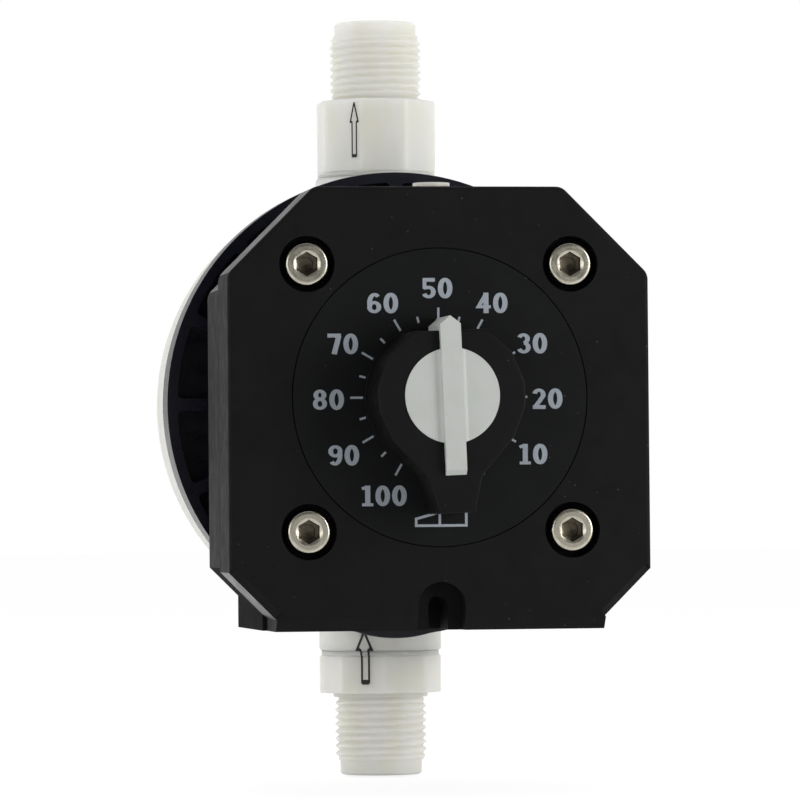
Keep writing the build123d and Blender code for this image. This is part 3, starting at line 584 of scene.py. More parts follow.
class PUMP_OT_housing(bpy.types.Operator):
    """Housing: black moulded cover and body, gasket, foot inserts and air connection."""

    bl_idname = "pump.housing"
    bl_label = "Housing"

    def execute(self, context):
        colours = context.scene.pump_colours
        blacks = [
            moulded_black("face_black", colours.housing),
            moulded_black("diagonal_black", colours.housing, 0.3),
            moulded_black("wall_black", colours.housing, 0.58),
            moulded_black("foot_black", colours.housing, 0.95),
        ]
        reshaped("front_cover", "housing", blacks, lower_flanks, choose=walls)
        reshaped("housing_body", "housing", blacks, square_chamfers, choose=walls)
        dress(black_rubber(), "cover_gasket", "air_ring", "spindle_ring", "piston_seal", "rod_seal")
        brass = turned_metal("brass", BRASS, 0.3)
        dress(brass, "foot_inserts", "head_inserts", "air_sleeve")
        return {"FINISHED"}


class PUMP_OT_backplate(bpy.types.Operator):
    """Backplate and dosing head with the valves' fixed halves."""

    bl_idname = "pump.backplate"
    bl_label = "Backplate and head"

    def execute(self, context):
        colours = context.scene.pump_colours
        dress(navy_plastic(colours), "backplate")
        dress(milky_plastic("head_plastic", colours.head, 0.4, 0.15), "dosing_head")
        dress(
            milky_plastic("valve_base_plastic", colours.valve, 0.45, 1.0),
            "discharge_valve_base", "suction_valve_base",
        )
        return {"FINISHED"}


class PUMP_OT_inner_pieces(bpy.types.Operator):
    """Inner pieces: piston, spring, rod, diaphragm, seats and balls."""

    bl_idname = "pump.inner_pieces"
    bl_label = "Inner pieces"

    def execute(self, context):
        steel = turned_metal("turned_steel", context.scene.pump_colours.steel, 0.28)
        dress(
            steel, "adjusting_spindle", "spindle_circlip", "push_rod", "diaphragm_core",
            "backplate_screws", "head_washers", "knob_nut",
        )
        dress(turned_metal("drawn_wire", (0.55, 0.55, 0.56), 0.32), "return_spring")
        dress(turned_metal("cast_aluminium", (0.76, 0.77, 0.78), 0.4), "piston")
        brass = turned_metal("turned_brass", BRASS, 0.26)
        dress(brass, "stop_nut", "spindle_bush", "rod_bush")
        dress(milky_plastic("white_film", (0.90, 0.90, 0.89), 0.4, 0.1), "diaphragm")
        dress(
            milky_plastic("seat_plastic", (0.88, 0.87, 0.84), 0.3, 0.2),
            "discharge_seat", "suction_seat", "air_collet",
        )
        dress(black_rubber(), "discharge_seat_ring", "suction_seat_ring")
        dress(fired_ceramic(), "discharge_ball", "suction_ball")
        return {"FINISHED"}


class PUMP_OT_knob(bpy.types.Operator):
    """Knob: black faceted body, pale cap and pointer."""

    bl_idname = "pump.knob"
    bl_label = "Knob"

    def execute(self, context):
        colours = context.scene.pump_colours
        black = moulded_black("knob_black", colours.knob, 0.5, 0.16, 0.006, 0.35)
        pale = pale_plastic(colours)
        reshaped("knob_body", "knob", [black], grown(KNOB_GROWTH), KNOB_EDGE)
        reshaped("knob_pointer", "knob", [pale], grown(POINTER_GROWTH), KNOB_EDGE)
        return {"FINISHED"}


# ---- screws -----------------------------------------------------------------------------------
KNURL_COLUMNS = 4  # columns of the grid for each ridge of the knurl
KNURL_ROWS = slice(6, 9)  # rows of the grid that the knurl cuts
HOLE_ROWS = 5  # rows of the key hole, the last ones of the grid
SKIN_SCALE = 10 * MM  # length that the skin map counts as 1


def socket_screw_grid(head, head_height, shank, span, key, ridges, knurl):
    """Grid of a socket head screw along +Z, its head's top at 0. Rows run from the tip up the
    shank, out under the head, up the knurled side, over the rounded rim, into the countersunk
    key hole and down to its bottom. Columns go round."""
    columns = ridges * KNURL_COLUMNS
    turn = np.arange(columns) * 2 * math.pi / columns
    wall = (1 + np.cos(ridges * turn)) / 2 * knurl
    hexagon = polygon_radius(turn, key / math.sqrt(3), 6, math.pi / 2, 0.0)
    rim, mouth = 0.11 * head, 0.62 * key
    bow = np.linspace(0, math.pi / 2, 5)
    point, bevel, sink = 0.2 * shank, 0.35 * MM, 0.08 * MM
    rows = [
        (0.35 * shank, -span), (shank - point, -span), (shank, -span + point),
        (shank, -head_height - 0.2 * MM), (shank + 0.3 * MM, -head_height),
        (head - bevel, -head_height), (head, -head_height + bevel),
        (head, -head_height * 0.5), (head, -1.6 * rim),
    ]
    rows += [(head - rim * (1 - math.cos(b)), -rim * (1 - math.sin(b))) for b in bow]
    rows += [(0.5 * (head + mouth), 0.0), (mouth + 0.12 * MM, 0.0), (mouth, -sink)]
    radius = np.array([r for r, _ in rows])[:, None] + 0 * turn[None, :]
    rise = np.array([z for _, z in rows])[:, None] + 0 * turn[None, :]
    radius[KNURL_ROWS] -= wall
    hole = [
        (hexagon, -0.5 * (mouth - hexagon) - sink), (hexagon, -0.42 * head_height),
        (0.36 * key, -0.45 * head_height), (0.34 * key, -0.52 * head_height),
        (0.02 * key, -0.56 * head_height),
    ]
    radius = np.vstack([radius] + [across + 0 * turn for across, _ in hole])
    rise = np.vstack([rise] + [level + 0 * turn for _, level in hole])
    return turn, radius, rise


def make_screws(name, places, outward, sizes, ridges, knurl, steel, painted_shade_steel):
    """Screws at (x, y, z) places, heads facing along +Y or -Y, joined in one piece. The skin map
    gives each face its turn and its radius, so tool lines run round. The key hole's walls and
    bottom take the second material, a darker steel that paints the shade in the hole."""
    turn, radius, rise = socket_screw_grid(*sizes, ridges, knurl)
    count, columns = radius.shape
    local = polar(radius, turn[None, :], rise).reshape(-1, 3)
    points, faces, skin = [], [], []
    caps = [[*range(columns)][::-1], [*range((count - 1) * columns, count * columns)]]
    quads = grid_faces(count, columns)
    edge_u = np.stack([np.arange(columns), np.arange(columns) + 1], 1) / columns
    reach = radius.max(axis=1) / SKIN_SCALE + rise.min(axis=1) / SKIN_SCALE
    edge_v = np.stack([reach[:-1], reach[1:]], 1)
    u, v = np.broadcast_arrays(edge_u[None, :, [0, 1, 1, 0]], edge_v[:, None, [0, 0, 1, 1]])
    quad_skin = np.stack([u, v], -1).reshape(-1, 2)
    axes = screw_axes(outward)
    for number, place in enumerate(places):
        first = number * len(local)
        points.append(local @ axes.T + np.asarray(place))
        faces += (quads + first).tolist()
        faces += [[index + first for index in cap] for cap in caps]
        skin += [quad_skin, np.zeros((2 * columns, 2))]
    piece = new_piece(name, np.vstack(points), faces, steel, np.vstack(skin), crease=28.0)
    piece.data.materials.append(painted_shade_steel)
    inside = np.arange(count - 1) >= count - HOLE_ROWS
    of_one = np.append(np.repeat(inside, columns), [False, True])
    picked = np.tile(of_one, len(places)).astype(np.int32)
    piece.data.polygons.foreach_set("material_index", picked)
    return piece


def screw_axes(outward):
    """Rotation that points a screw's +Z along +Y or -Y."""
    return np.array([[1.0, 0, 0], [0, 0, outward], [0, -outward, 0]])


def solid_boxes(node, count):
    """Boxes of a node's solids set on a circle or a square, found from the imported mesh: points
    are sorted by the angle round the node's middle into equal groups, from the start angle that
    gives the smallest boxes."""
    points = vectors(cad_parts[node].data.vertices, "co")
    mid = middle(node)
    around = np.arctan2(points[:, 2] - mid[2], points[:, 0] - mid[0])
    tries, part = 24, 2 * math.pi / count
    best = None
    for start in np.linspace(0, part, tries, endpoint=False):
        group = (((around - start) % (2 * math.pi)) // part).astype(int)
        groups = [points[group == g] for g in range(count)]
        if min(len(g) for g in groups) == 0:
            continue
        boxes = [(g.min(0), g.max(0)) for g in groups]
        spread = sum(float(np.prod((high - low)[[0, 2]])) for low, high in boxes)
        if best is None or spread < best[0]:
            best = (spread, boxes)
    return best[1]


class PUMP_OT_screws(bpy.types.Operator):
    """Socket head screws in the cover and behind the dosing head, with knurls and key holes."""

    bl_idname = "pump.screws"
    bl_label = "Screws"

    def execute(self, context):
        sizes = context.scene.pump_screws
        steel = turned_metal("stainless", context.scene.pump_colours.steel, 0.22, follow_skin=True)
        # The key holes' walls and bottom take a darker steel: painted shade in the holes.
        painted_shade_steel = turned_metal("stainless_painted_shade", (0.3, 0.28, 0.24), 0.3, follow_skin=True)
        kinds = (
            ("cover_screws", 4, -1, sizes.cover_head, 6 * MM, 3 * MM, sizes.cover_key),
            ("head_screws", 6, 1, sizes.back_head, 5 * MM, 2.5 * MM, sizes.back_key),
        )
        for node, count, outward, head, head_height, shank, key in kinds:
            boxes = solid_boxes(node, count)
            low, high = boxes[0]
            front = low[1] if outward < 0 else high[1]
            places = [((b[0][0] + b[1][0]) / 2, front, (b[0][2] + b[1][2]) / 2) for b in boxes]
            grid = (head, head_height, shank, high[1] - low[1], key)
            piece = make_screws(
                node + "_dressed", places, outward, grid, sizes.ridges, sizes.knurl, steel, painted_shade_steel
            )
            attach(piece, "housing")
            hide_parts(node)
        return {"FINISHED"}


# ---- valve connectors ---------------------------------------------------------------------------
CONNECTOR_COLUMNS = 160
ROWS_A_PITCH = 16  # rows that draw one turn of the thread
SUCTION_GROOVE = (-61.34 * MM, -62.3 * MM)  # top and foot of the groove over the lower octagon


def connector_grid(rows, columns, turn_corner, v):
    """Radius and height grids of a connector. Each row is (kind, radius, height); kind says
    whether the wall is round, the wrench octagon, or the thread between two heights."""
    turn = np.arange(columns) * 2 * math.pi / columns
    radius = np.empty((len(rows), columns))
    rise = np.empty((len(rows), columns))
    for index, (kind, wall, level) in enumerate(rows):
        if kind == "octagon":
            radius[index] = octagon_radius(turn, wall, turn_corner)
        elif kind == "thread":
            start, end = wall
            radius[index] = thread_radius(turn, level, v.crest, v.depth, v.pitch, start, end)
        else:
            radius[index] = wall
        rise[index] = level
    return turn, radius, rise


def thread_rows(v, start, end):
    """Rows close enough together to draw the ridge."""
    steps = int(round((end - start) / v.pitch * ROWS_A_PITCH))
    return [("thread", (start, end), z) for z in np.linspace(start, end, steps + 1)]


def discharge_rows(v):
    """Upper connector, up the outside and down the passage."""
    soft, edge = 0.25 * MM, 0.5 * MM
    collar, low, high, end = 57.54 * MM, 58.4 * MM, 76.7 * MM, 96.6 * MM
    thread = (77.3 * MM, 93.4 * MM)
    bore_foot, cage_top, cage_foot, slope = 79.6 * MM, 69.6 * MM, 64.2 * MM, 0.1 * MM
    return [
        ("round", v.socket, collar), ("round", v.shoulder, collar), ("round", v.shoulder, low),
        ("octagon", v.octagon_corner - edge, low), ("octagon", v.octagon_corner, low + edge),
        ("octagon", v.octagon_corner, (low + high) / 2),
        ("octagon", v.octagon_corner, high - soft), ("octagon", v.octagon_corner - soft, high),
        ("round", v.step + 0.2 * MM, high), ("round", v.step, high + 0.2 * MM),
        ("round", v.step, thread[0] - 0.1 * MM),
        *thread_rows(v, *thread),
        ("round", v.lead, thread[1] + 0.1 * MM), ("round", v.lead, end - edge),
        ("round", v.lead - edge, end), ("round", v.bore + edge, end),
        ("round", v.bore, end - edge), ("round", v.bore, bore_foot),
        ("round", v.throat, bore_foot - slope), ("round", v.throat, cage_top + slope),
        ("round", v.cage, cage_top), ("round", v.cage, cage_foot),
        ("round", v.socket, cage_foot - slope),
    ]


def suction_rows(v):
    """Lower connector, from its open end up the outside, and down the passage."""
    soft, edge = 0.25 * MM, 0.5 * MM
    collar, high = SUCTION_GROOVE
    low, end = -71.9 * MM, -92.4 * MM
    thread = (-88.8 * MM, -73.0 * MM)
    neck, neck_top, seat, slope = v.socket - 0.05 * MM, -57.0 * MM, -60.45 * MM, 0.1 * MM
    return [
        ("round", v.bore + edge, end), ("round", v.lead - edge, end),
        ("round", v.lead, end + edge), ("round", v.lead, thread[0] - 0.1 * MM),
        *thread_rows(v, *thread),
        ("round", v.step, thread[1] + 0.1 * MM), ("round", v.step, low - 0.2 * MM),
        ("round", v.step + 0.2 * MM, low),
        ("octagon", v.octagon_corner - soft, low), ("octagon", v.octagon_corner, low + soft),
        ("octagon", v.octagon_corner, (low + high) / 2),
        ("octagon", v.octagon_corner, high - edge), ("octagon", v.octagon_corner - edge, high),
        ("round", v.shoulder, high), ("round", v.shoulder, collar), ("round", neck, collar),
        ("round", neck, neck_top - slope), ("round", neck - slope, neck_top),
        ("round", v.seat_pocket, neck_top), ("round", v.seat_pocket, seat),
        ("round", v.bore, seat), ("round", v.bore, end + edge),
    ]


def make_connector(name, rows, corner, v, material):
    """A closed skin from a connector's rows; the last row joins the first."""
    turn, radius, rise = connector_grid(rows, CONNECTOR_COLUMNS, corner, v)
    points = polar(radius, turn[None, :], rise + drive_height)
    points[..., 0] += valve_middle[0]
    points[..., 1] += valve_middle[1]
    faces = grid_faces(len(rows), CONNECTOR_COLUMNS, wrap_rows=True)
    return new_piece(name, points, faces.tolist(), material, crease=35.0)


class PUMP_OT_valves(bpy.types.Operator):
    """Valve connectors with wrench octagons, pipe threads and open passages."""

    bl_idname = "pump.valves"
    bl_label = "Valve connectors"

    def execute(self, context):
        v = context.scene.pump_valves
        milky = milky_plastic("valve_plastic", context.scene.pump_colours.valve, 0.45, 1.0)
        for name, rows, corner in (
            ("discharge_valve_connector", discharge_rows(v), v.discharge_turn),
            ("suction_valve_connector", suction_rows(v), v.suction_turn),
        ):
            piece = make_connector(name + "_threaded", rows, corner, v, milky)
            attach(piece, "housing")
            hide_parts(name)
        return {"FINISHED"}


# ---- flat strokes: print and arrows -------------------------------------------------------------
TINY = 1e-12  # keeps a run of no length from dividing by nothing
SHORTEST_MEAN = 0.35  # limits how far a stroke's corner reaches out


def stroke_edges(path, pen, closed):
    """Left and right edges of a stroke along a path in the plane: each point is moved out along
    the mean of its two runs' normals, and further at a corner, so that the stroke keeps its
    width. The pen is as wide as pen[0] in upright runs and as high as pen[1] in level ones."""
    path = np.asarray(path, float)
    forward = np.roll(path, -1, axis=0) - path
    back = path - np.roll(path, 1, axis=0)
    if not closed:
        forward[-1] = back[-1]
        back[0] = forward[0]
    normals = []
    for run in (forward, back):
        run = run / np.maximum(np.linalg.norm(run, axis=1, keepdims=True), TINY)
        normals.append(np.stack([-run[:, 1], run[:, 0]], 1))
    mean = normals[0] + normals[1]
    mean /= np.maximum(np.linalg.norm(mean, axis=1, keepdims=True), TINY)
    mitre = 1 / np.maximum((mean * normals[0]).sum(1, keepdims=True), SHORTEST_MEAN)
    out = mean * mitre * np.asarray(pen) / 2
    return path + out, path - out


def refine(path, step, closed):
    """A path with points added along each run, so that none is longer than the step."""
    path = [np.asarray(p, float) for p in path]
    ends = path[1:] + [path[0]] if closed else path[1:]
    out = []
    for start, end in zip(path, ends):
        count = max(1, int(math.ceil(np.linalg.norm(end - start) / step)))
        out += [start + (end - start) * k / count for k in range(count)]
    return out if closed else out + [path[-1]]


def stroke_solid(path, pen, closed, place, lift=0.0):
    """Points and faces of a raised stroke. The cross-section is a rectangle; place maps (across,
    up, raised) to the surface that carries it, where raised is 0 under the film and 1 on it.
    Strokes that cross have lifts of their own, so that no two faces share a plane."""
    left, right = stroke_edges(path, pen, closed)
    section = [(left, -lift), (right, -lift), (right, 1 + lift), (left, 1 + lift)]
    points = np.stack([place(edge[:, 0], edge[:, 1], raised) for edge, raised in section], 1)
    count = len(left)
    faces = grid_faces(count, 4, wrap_rows=closed).tolist()
    if not closed:
        faces += [[3, 2, 1, 0], [4 * count - 4, 4 * count - 3, 4 * count - 2, 4 * count - 1]]
    return points.reshape(-1, 3), faces


def joined(name, solids, material):
    """Several (points, faces) solids as one piece, with their faces turned outwards."""
    points, faces, first = [], [], 0
    for solid, solid_faces in solids:
        points.append(solid)
        faces += [[index + first for index in face] for face in solid_faces]
        first += len(solid)
    piece = new_piece(name, np.vstack(points), faces, material, crease=40.0)
    face_outwards(piece.data)
    return piece


def face_outwards(mesh):
    """Turns a closed mesh's faces outwards."""
    shell = bmesh.new()
    shell.from_mesh(mesh)
    bmesh.ops.recalc_face_normals(shell, faces=shell.faces)
    shell.to_mesh(mesh)
    shell.free()


def on_dial(film):
    """Maps dial coordinates, in metres right and up of the centre, to the dial's face."""

    def place(across, up, raised):
        y = dial_front + 0.3 * film - raised * 1.3 * film
        return np.stack([dial_middle[0] + across, np.full_like(across, y), drive_height + up], 1)

    return place


def arc(centre, radius_x, radius_y, start, end, steps=14):
    """Points of an elliptical arc from one angle to another, in degrees."""
    t = np.radians(np.linspace(start, end, steps))
    return [(centre[0] + radius_x * math.cos(a), centre[1] + radius_y * math.sin(a)) for a in t]


def digit_strokes(digit):
    """Centre lines of a bold digit one unit high: its width, then (points, closed, pen) for
    each stroke, where the pen scales the stem's width and the bar's height."""
    full, thin, slim = (1.0, 1.0), (0.72, 1.12), (0.9, 0.9)
    ring = arc((0.36, 0.5), 0.232, 0.418, 0, 360, 41)[:-1]
    six = [
        (arc((0.36, 0.305), 0.232, 0.222, 0, 360, 33)[:-1], True, slim),
        (arc((0.38, 0.5), 0.25, 0.418, 200, 48, 18), False, slim),
    ]
    nine = [([(0.73 - x, 1 - y) for x, y in points], closed, pen) for points, closed, pen in six]
    return {
        "0": (0.72, [(ring, True, full)]),
        "1": (0.58, [
            ([(0.30, 1.0), (0.30, 0.0)], False, (0.98, 1.0)),
            ([(0.02, 0.07), (0.57, 0.07)], False, (1.0, 0.86)),
            ([(0.02, 0.845), (0.27, 0.935)], False, (0.8, 0.86)),
        ]),
        "2": (0.68, [
            (arc((0.33, 0.70), 0.215, 0.218, 168, -28, 18) + [(0.17, 0.14)], False, slim),
            ([(0.02, 0.09), (0.66, 0.09)], False, (1.0, 1.1)),
        ]),
        "3": (0.66, [
            (arc((0.30, 0.725), 0.205, 0.192, 160, -88, 18), False, slim),
            (arc((0.31, 0.300), 0.232, 0.218, 86, -160, 20), False, slim),
        ]),
        "4": (0.72, [
            ([(0.45, 0.93), (0.10, 0.31), (0.71, 0.31)], False, (0.7, 0.86)),
            ([(0.47, 1.0), (0.47, 0.0)], False, (0.98, 1.0)),
        ]),
        "5": (0.68, [
            ([(0.03, 0.905), (0.63, 0.905)], False, (1.0, 1.1)),
            ([(0.12, 0.95), (0.12, 0.54), (0.20, 0.50)], False, thin),
            (arc((0.32, 0.31), 0.235, 0.232, 128, -158, 22), False, slim),
        ]),
        "6": (0.72, six),
        "7": (0.70, [
            ([(0.02, 0.905), (0.68, 0.905)], False, (1.0, 1.14)),
            ([(0.575, 0.88), (0.34, 0.0)], False, full),
        ]),
        "8": (0.72, [
            (arc((0.36, 0.725), 0.200, 0.192, 0, 360, 29)[:-1], True, slim),
            (arc((0.36, 0.300), 0.230, 0.218, 0, 360, 33)[:-1], True, slim),
        ]),
        "9": (0.72, nine),
    }[digit]


def number_solids(text, centre, size, pen, place):
    """Raised strokes of a number centred on the dial."""
    gap = 0.1
    digits = [digit_strokes(digit) for digit in text]
    start = -(sum(width for width, _ in digits) + gap * (len(digits) - 1)) / 2
    solids = []
    for width, strokes in digits:
        for order, (points, closed, share_of_pen) in enumerate(strokes):
            path = np.array(points) - (0, 0.5)
            path = (path + (start, 0)) * size + centre
            solids.append(
                stroke_solid(path, np.array(share_of_pen) * pen, closed, place, 0.2 * order)
            )
        start += width + gap
    return solids


NUMBER_SHIFT = np.array([-0.52, -0.43]) * MM
TICK_SHIFT = np.array([-0.32, 0.0]) * MM
STROKE_WEDGE = np.array([(-6.0, -30.0), (-6.0, -28.4), (-0.4, -26.9), (-0.4, -30.0)]) * MM
STROKE_BOX = np.array([(-0.4, -30.0), (5.9, -30.0), (5.9, -26.9)]) * MM
STROKE_LINE = 0.6 * MM


def dial_direction(percent):
    """Right and up of the dial's direction for a setting: 50 is up, and each ten is 30 degrees
    clockwise as it falls."""
    a = math.radians((50 - percent) * 3)
    return math.sin(a), math.cos(a)


class PUMP_OT_dial(bpy.types.Operator):
    """Dial plate with its numbers, ticks and stroke sign."""

    bl_idname = "pump.dial"
    bl_label = "Dial"

    def execute(self, context):
        colours, p = context.scene.pump_colours, context.scene.pump_print
        dress(moulded_black("dial_black", colours.dial, 0.55, 0.2, 0.006, 0.6), "scale_plate")
        place = on_dial(p.film)
        solids = []
        for percent in range(10, 101, 10):
            right, up = dial_direction(percent)
            centre = np.array([right, up]) * p.number_radius + NUMBER_SHIFT
            solids += number_solids(str(percent), centre, p.digit_height, (p.stem, p.bar), place)
        for percent in range(0, 101, 5):
            way = np.array(dial_direction(percent))
            outer = p.tick_outer if percent % 10 == 0 else p.minor_outer
            path = np.array([p.tick_inner * way, outer * way]) + TICK_SHIFT
            solids.append(stroke_solid(path, p.tick_width, False, place))
        solids.append(stroke_solid(STROKE_WEDGE, STROKE_LINE, True, place))
        solids.append(stroke_solid(STROKE_BOX, STROKE_LINE, False, place, 0.2))
        piece = joined("dial_print", solids, print_film("dial_ink", colours.print, 0.6))
        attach(piece, "housing")
        return {"FINISHED"}


def on_valve(v, corner, middle_turn, level, film, groove):
    """Maps arrow coordinates to a valve's wall: across runs round the axis from a turn, up from
    a height above the drive axis. Above the groove, given by its top and its foot, the wall is
    the round collar, in it the round shoulder, and below it the wrench octagon. The film stands
    on the wall."""

    def place(across, up, raised):
        flat = v.octagon_corner * math.cos(math.pi / 8)
        turn = middle_turn + across / flat
        octagon = octagon_radius(turn, v.octagon_corner, corner)
        height = level + up
        wall = np.select([height > groove[0], height > groove[1]], [v.collar, v.shoulder], octagon)
        radius = wall + (raised - 0.4) * film
        return np.stack(
            [
                valve_middle[0] + radius * np.cos(turn),
                valve_middle[1] + radius * np.sin(turn),
                drive_height + height,
            ],
            1,
        )

    return place


def arrow_solids(head, shaft, head_length, total, line, place):
    """Outline of an upright arrow whose tip is at 0: two barbs with thick corners, two shaft
    lines and a solid foot. Each stroke has its own lift."""
    strokes = []
    for side in (-1, 1):
        barb = [
            (0, -line), (side * head, -head_length), (side * (shaft - 0.3 * line), -head_length)
        ]
        edge = [(side * shaft, -head_length), (side * shaft, -total)]
        heel = [
            (side * (0.92 * head), -head_length + 0.2 * line),
            (side * (shaft + 0.3 * line), -head_length + 0.7 * line),
        ]
        strokes += [(barb, 1.0), (edge, 0.9), (heel, 1.5)]
    strokes.append(([(-shaft, -total + 0.6 * line), (shaft, -total + 0.6 * line)], 2.2))
    return [
        stroke_solid(refine(path, 0.1 * MM, False), bold * line, False, place, 0.08 * order)
        for order, (path, bold) in enumerate(strokes)
    ]


UPPER_ARROW = {"head": 1.12 * MM, "shaft": 0.62 * MM, "head_length": 5.3 * MM, "total": 14.0 * MM}
LOWER_ARROW = {"head": 1.8 * MM, "shaft": 0.92 * MM, "head_length": 5.1 * MM, "total": 13.5 * MM}
UPPER_PLACE = (math.radians(-120.3), 76.15 * MM)  # turn and height of the tip
LOWER_PLACE = (math.radians(-114), -55.8 * MM)
UPPER_LINE = 0.7  # share of the lower arrow's line width
NO_GROOVE = (90 * MM, 90 * MM)  # above the arrow, so that it lies on the octagon alone


class PUMP_OT_flow_arrows(bpy.types.Operator):
    """Flow arrows printed on the two valves."""

    bl_idname = "pump.flow_arrows"
    bl_label = "Flow arrows"

    def execute(self, context):
        v, p = context.scene.pump_valves, context.scene.pump_print
        ink = print_film("arrow_ink", context.scene.pump_colours.ink, 0.4)
        film = 2 * p.film
        upper = on_valve(v, v.discharge_turn, *UPPER_PLACE, film, NO_GROOVE)
        lower = on_valve(v, v.suction_turn, *LOWER_PLACE, film, SUCTION_GROOVE)
        solids = arrow_solids(**UPPER_ARROW, line=UPPER_LINE * p.arrow_line, place=upper)
        solids += arrow_solids(**LOWER_ARROW, line=p.arrow_line, place=lower)
        piece = joined("flow_arrows", solids, ink)
        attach(piece, "housing")
        return {"FINISHED"}


# ---- stage --------------------------------------------------------------------------------------
FLOOR_COLUMNS = 96
FLOOR_RINGS = np.array([0.02, 0.1, 0.4, 1.5, 4.0, 9.0]) / 9.0  # shares of the floor's radius
FLOOR_GREY = 0.86
FLOOR_GLOW = 1.15  # strength of the white that the floor shows
FLOOR_SEEN = 0.75  # share of that white in what is seen; the rest keeps the shadow
ROOM_FADE = (-0.75, 0.15)  # from before the dial to behind it, along +Y
CAMERA_PLACE = (-0.20034, -1.17626, -0.02838)  # metres from the drive axis and the dial's front
LAMPS = (  # name, place, width in metres, watts
    ("left_box", (-0.9, -1.0, 0.12), 0.9, 4.6),
    ("side_box", (-1.0, 0.0, 0.1), 0.9, 5),
    ("right_box", (0.5, -0.48, 0.13), 0.4, 3.2),
    ("top_box", (0.05, 0.35, 1.5), 1.0, 4),
)


def seen_rays(tree):
    """1 for rays that look straight, in a mirror or through glass, 0 for rays that light."""
    rays = tree.nodes.new("ShaderNodeLightPath").outputs
    total = rays["Is Camera Ray"]
    for name in ("Is Glossy Ray", "Is Transmission Ray"):
        total = maths(tree, "MAXIMUM", total, rays[name])
    return total


def show_mix(tree, share_of_second, first, second, out):
    """The output node shows the first shader, and the second where its share is 1."""
    mix = tree.nodes.new("ShaderNodeMixShader")
    for socket, value in zip(mix.inputs, (share_of_second, first, second)):
        tree.links.new(value, socket)
    tree.links.new(mix.outputs["Shader"], out.inputs["Surface"])


def white_floor(radius, level):
    """Round floor: white where it is seen, less where the pump's shadow falls."""
    turn = np.arange(FLOOR_COLUMNS) * 2 * math.pi / FLOOR_COLUMNS
    points = polar(FLOOR_RINGS[:, None] * radius, turn[None, :], level)
    faces = grid_faces(len(FLOOR_RINGS), FLOOR_COLUMNS).tolist() + [[*range(FLOOR_COLUMNS)]]
    mesh = bpy.data.meshes.new("floor")
    mesh.from_pydata(points.reshape(-1, 3), [], faces)
    floor = bpy.data.objects.new("floor", mesh)
    bpy.context.scene.collection.objects.link(floor)
    material = bpy.data.materials.new("floor_white")
    material.use_nodes = True
    tree = material.node_tree
    tree.nodes.clear()
    out = tree.nodes.new("ShaderNodeOutputMaterial")
    matt = new_node(tree, "ShaderNodeBsdfDiffuse", Color=(FLOOR_GREY, FLOOR_GREY, FLOOR_GREY, 1))
    white = new_node(tree, "ShaderNodeEmission", Strength=FLOOR_GLOW)
    seen = maths(tree, "MULTIPLY", seen_rays(tree), FLOOR_SEEN)
    show_mix(tree, seen, matt.outputs["BSDF"], white.outputs["Emission"], out)
    mesh.materials.append(material)
    return floor


def white_room(front, surround):
    """World: white where the camera looks at it. As light and in reflections it is dim before
    the dial and bright behind it."""
    world = bpy.data.worlds.new("white_room")
    bpy.context.scene.world = world
    world.use_nodes = True
    tree = world.node_tree
    tree.nodes.clear()
    direction = tree.nodes.new("ShaderNodeTexCoord").outputs["Generated"]
    split = new_node(tree, "ShaderNodeSeparateXYZ", Vector=direction)
    start, end = ROOM_FADE
    fade = new_node(
        tree, "ShaderNodeMapRange", Value=split.outputs["Y"], From_Min=start, From_Max=end,
        To_Min=front, To_Max=surround,
    )
    fade.interpolation_type = "SMOOTHSTEP"
    lit = new_node(
        tree, "ShaderNodeBackground", Color=(1, 1, 1, 1), Strength=fade.outputs["Result"]
    )
    seen = new_node(tree, "ShaderNodeBackground", Color=(1, 1, 1, 1))
    camera_ray = tree.nodes.new("ShaderNodeLightPath").outputs["Is Camera Ray"]
    out = tree.nodes.new("ShaderNodeOutputWorld")
    show_mix(tree, camera_ray, lit.outputs["Background"], seen.outputs["Background"], out)


def soft_lamp(name, place, target, size, watts):
    """A square soft box that faces a point."""
    data = bpy.data.lights.new(name, "AREA")
    data.shape = "SQUARE"
    data.size = size
    data.energy = watts
    lamp = bpy.data.objects.new(name, data)
    bpy.context.scene.collection.objects.link(lamp)
    forward = np.asarray(target, float) - np.asarray(place, float)
    forward /= np.linalg.norm(forward)
    right = np.cross(forward, (0, 0, 1))
    right /= np.linalg.norm(right)
    up = np.cross(right, forward)
    lamp.matrix_world = axes_matrix(right, up, -forward, place)


def axes_matrix(x, y, z, place):
    """A placement from three axes and a point."""
    columns = np.eye(4)
    columns[:3, 0], columns[:3, 1], columns[:3, 2], columns[:3, 3] = x, y, z, place
    return Matrix(columns.tolist())


def make_camera(stage):
    """Long-lens camera a little to the left of the dial and just below it: yaw turns it about
    the upright, pitch lifts its look, roll leans it about its look."""
    y, p, r = stage.yaw, stage.pitch, stage.roll
    forward = np.array([math.sin(y) * math.cos(p), math.cos(y) * math.cos(p), math.sin(p)])
    level = np.array([math.cos(y), -math.sin(y), 0.0])
    upright = np.cross(level, forward)
    right = math.cos(r) * level + math.sin(r) * upright
    up = -math.sin(r) * level + math.cos(r) * upright
    data = bpy.data.cameras.new("camera")
    data.lens = stage.lens
    data.sensor_width = 36
    data.clip_start = 0.05
    data.clip_end = 60
    camera = bpy.data.objects.new("camera", data)
    bpy.context.scene.collection.objects.link(camera)
    place = np.array([0.0, dial_front, drive_height]) + CAMERA_PLACE
    camera.matrix_world = axes_matrix(right, up, -forward, place)
    bpy.context.scene.camera = camera


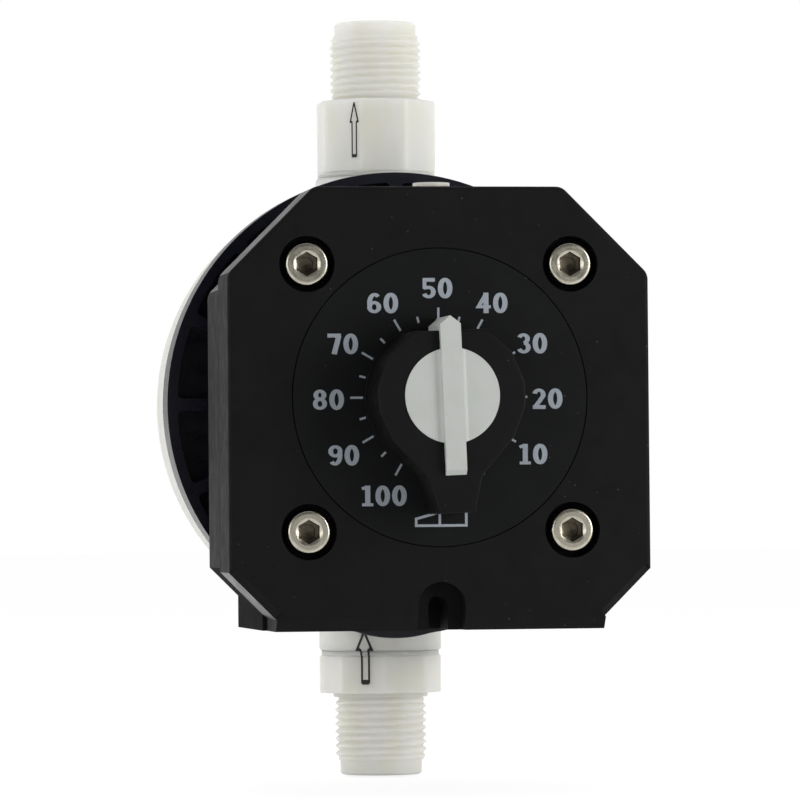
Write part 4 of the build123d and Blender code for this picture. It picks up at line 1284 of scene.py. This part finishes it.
class PUMP_OT_stage(bpy.types.Operator):
    """White floor and room, soft lamps and the camera."""

    bl_idname = "pump.stage"
    bl_label = "Stage"

    def execute(self, context):
        s = context.scene.pump_stage
        white_floor(s.floor_radius, cad_box[0][2] - s.floor_gap)
        white_room(s.front, s.surround)
        target = (0, 0.02, drive_height)
        for name, place, width, watts in LAMPS:
            soft_lamp(name, place, target, width, watts * s.lamps)
        make_camera(s)
        context.scene.view_settings.view_transform = "Standard"
        return {"FINISHED"}


# ---- panel and run ------------------------------------------------------------------------------
MAKERS = (
    PUMP_OT_housing, PUMP_OT_backplate, PUMP_OT_inner_pieces, PUMP_OT_knob, PUMP_OT_screws,
    PUMP_OT_valves, PUMP_OT_dial, PUMP_OT_flow_arrows, PUMP_OT_stage,
)
SETTINGS = {
    "pump_colours": PumpColours, "pump_print": PumpPrint, "pump_valves": PumpValves,
    "pump_screws": PumpScrews, "pump_stage": PumpStage,
}


class PUMP_PT_panel(bpy.types.Panel):
    """Lists the pump's settings and its makers."""

    bl_idname = "PUMP_PT_panel"
    bl_label = "Metering Pump"
    bl_space_type = "VIEW_3D"
    bl_region_type = "UI"
    bl_category = "Pump"

    def draw(self, context):
        for name in SETTINGS:
            box = self.layout.box()
            settings = getattr(context.scene, name)
            for key in settings.bl_rna.properties.keys():
                if key not in {"rna_type", "name"}:
                    box.prop(settings, key)
        for maker in MAKERS:
            self.layout.operator(maker.bl_idname)


def register():
    for group in SETTINGS.values():
        bpy.utils.register_class(group)
    for name, group in SETTINGS.items():
        setattr(bpy.types.Scene, name, PointerProperty(type=group))
    for kind in (*MAKERS, PUMP_PT_panel):
        bpy.utils.register_class(kind)


def unregister():
    for kind in (PUMP_PT_panel, *reversed(MAKERS)):
        bpy.utils.unregister_class(kind)
    for name in SETTINGS:
        delattr(bpy.types.Scene, name)
    for group in reversed(SETTINGS.values()):
        bpy.utils.unregister_class(group)


def main():
    register()
    for maker in MAKERS:
        getattr(bpy.ops.pump, maker.bl_idname.split(".")[1])()


if __name__ == "__main__":
    main()
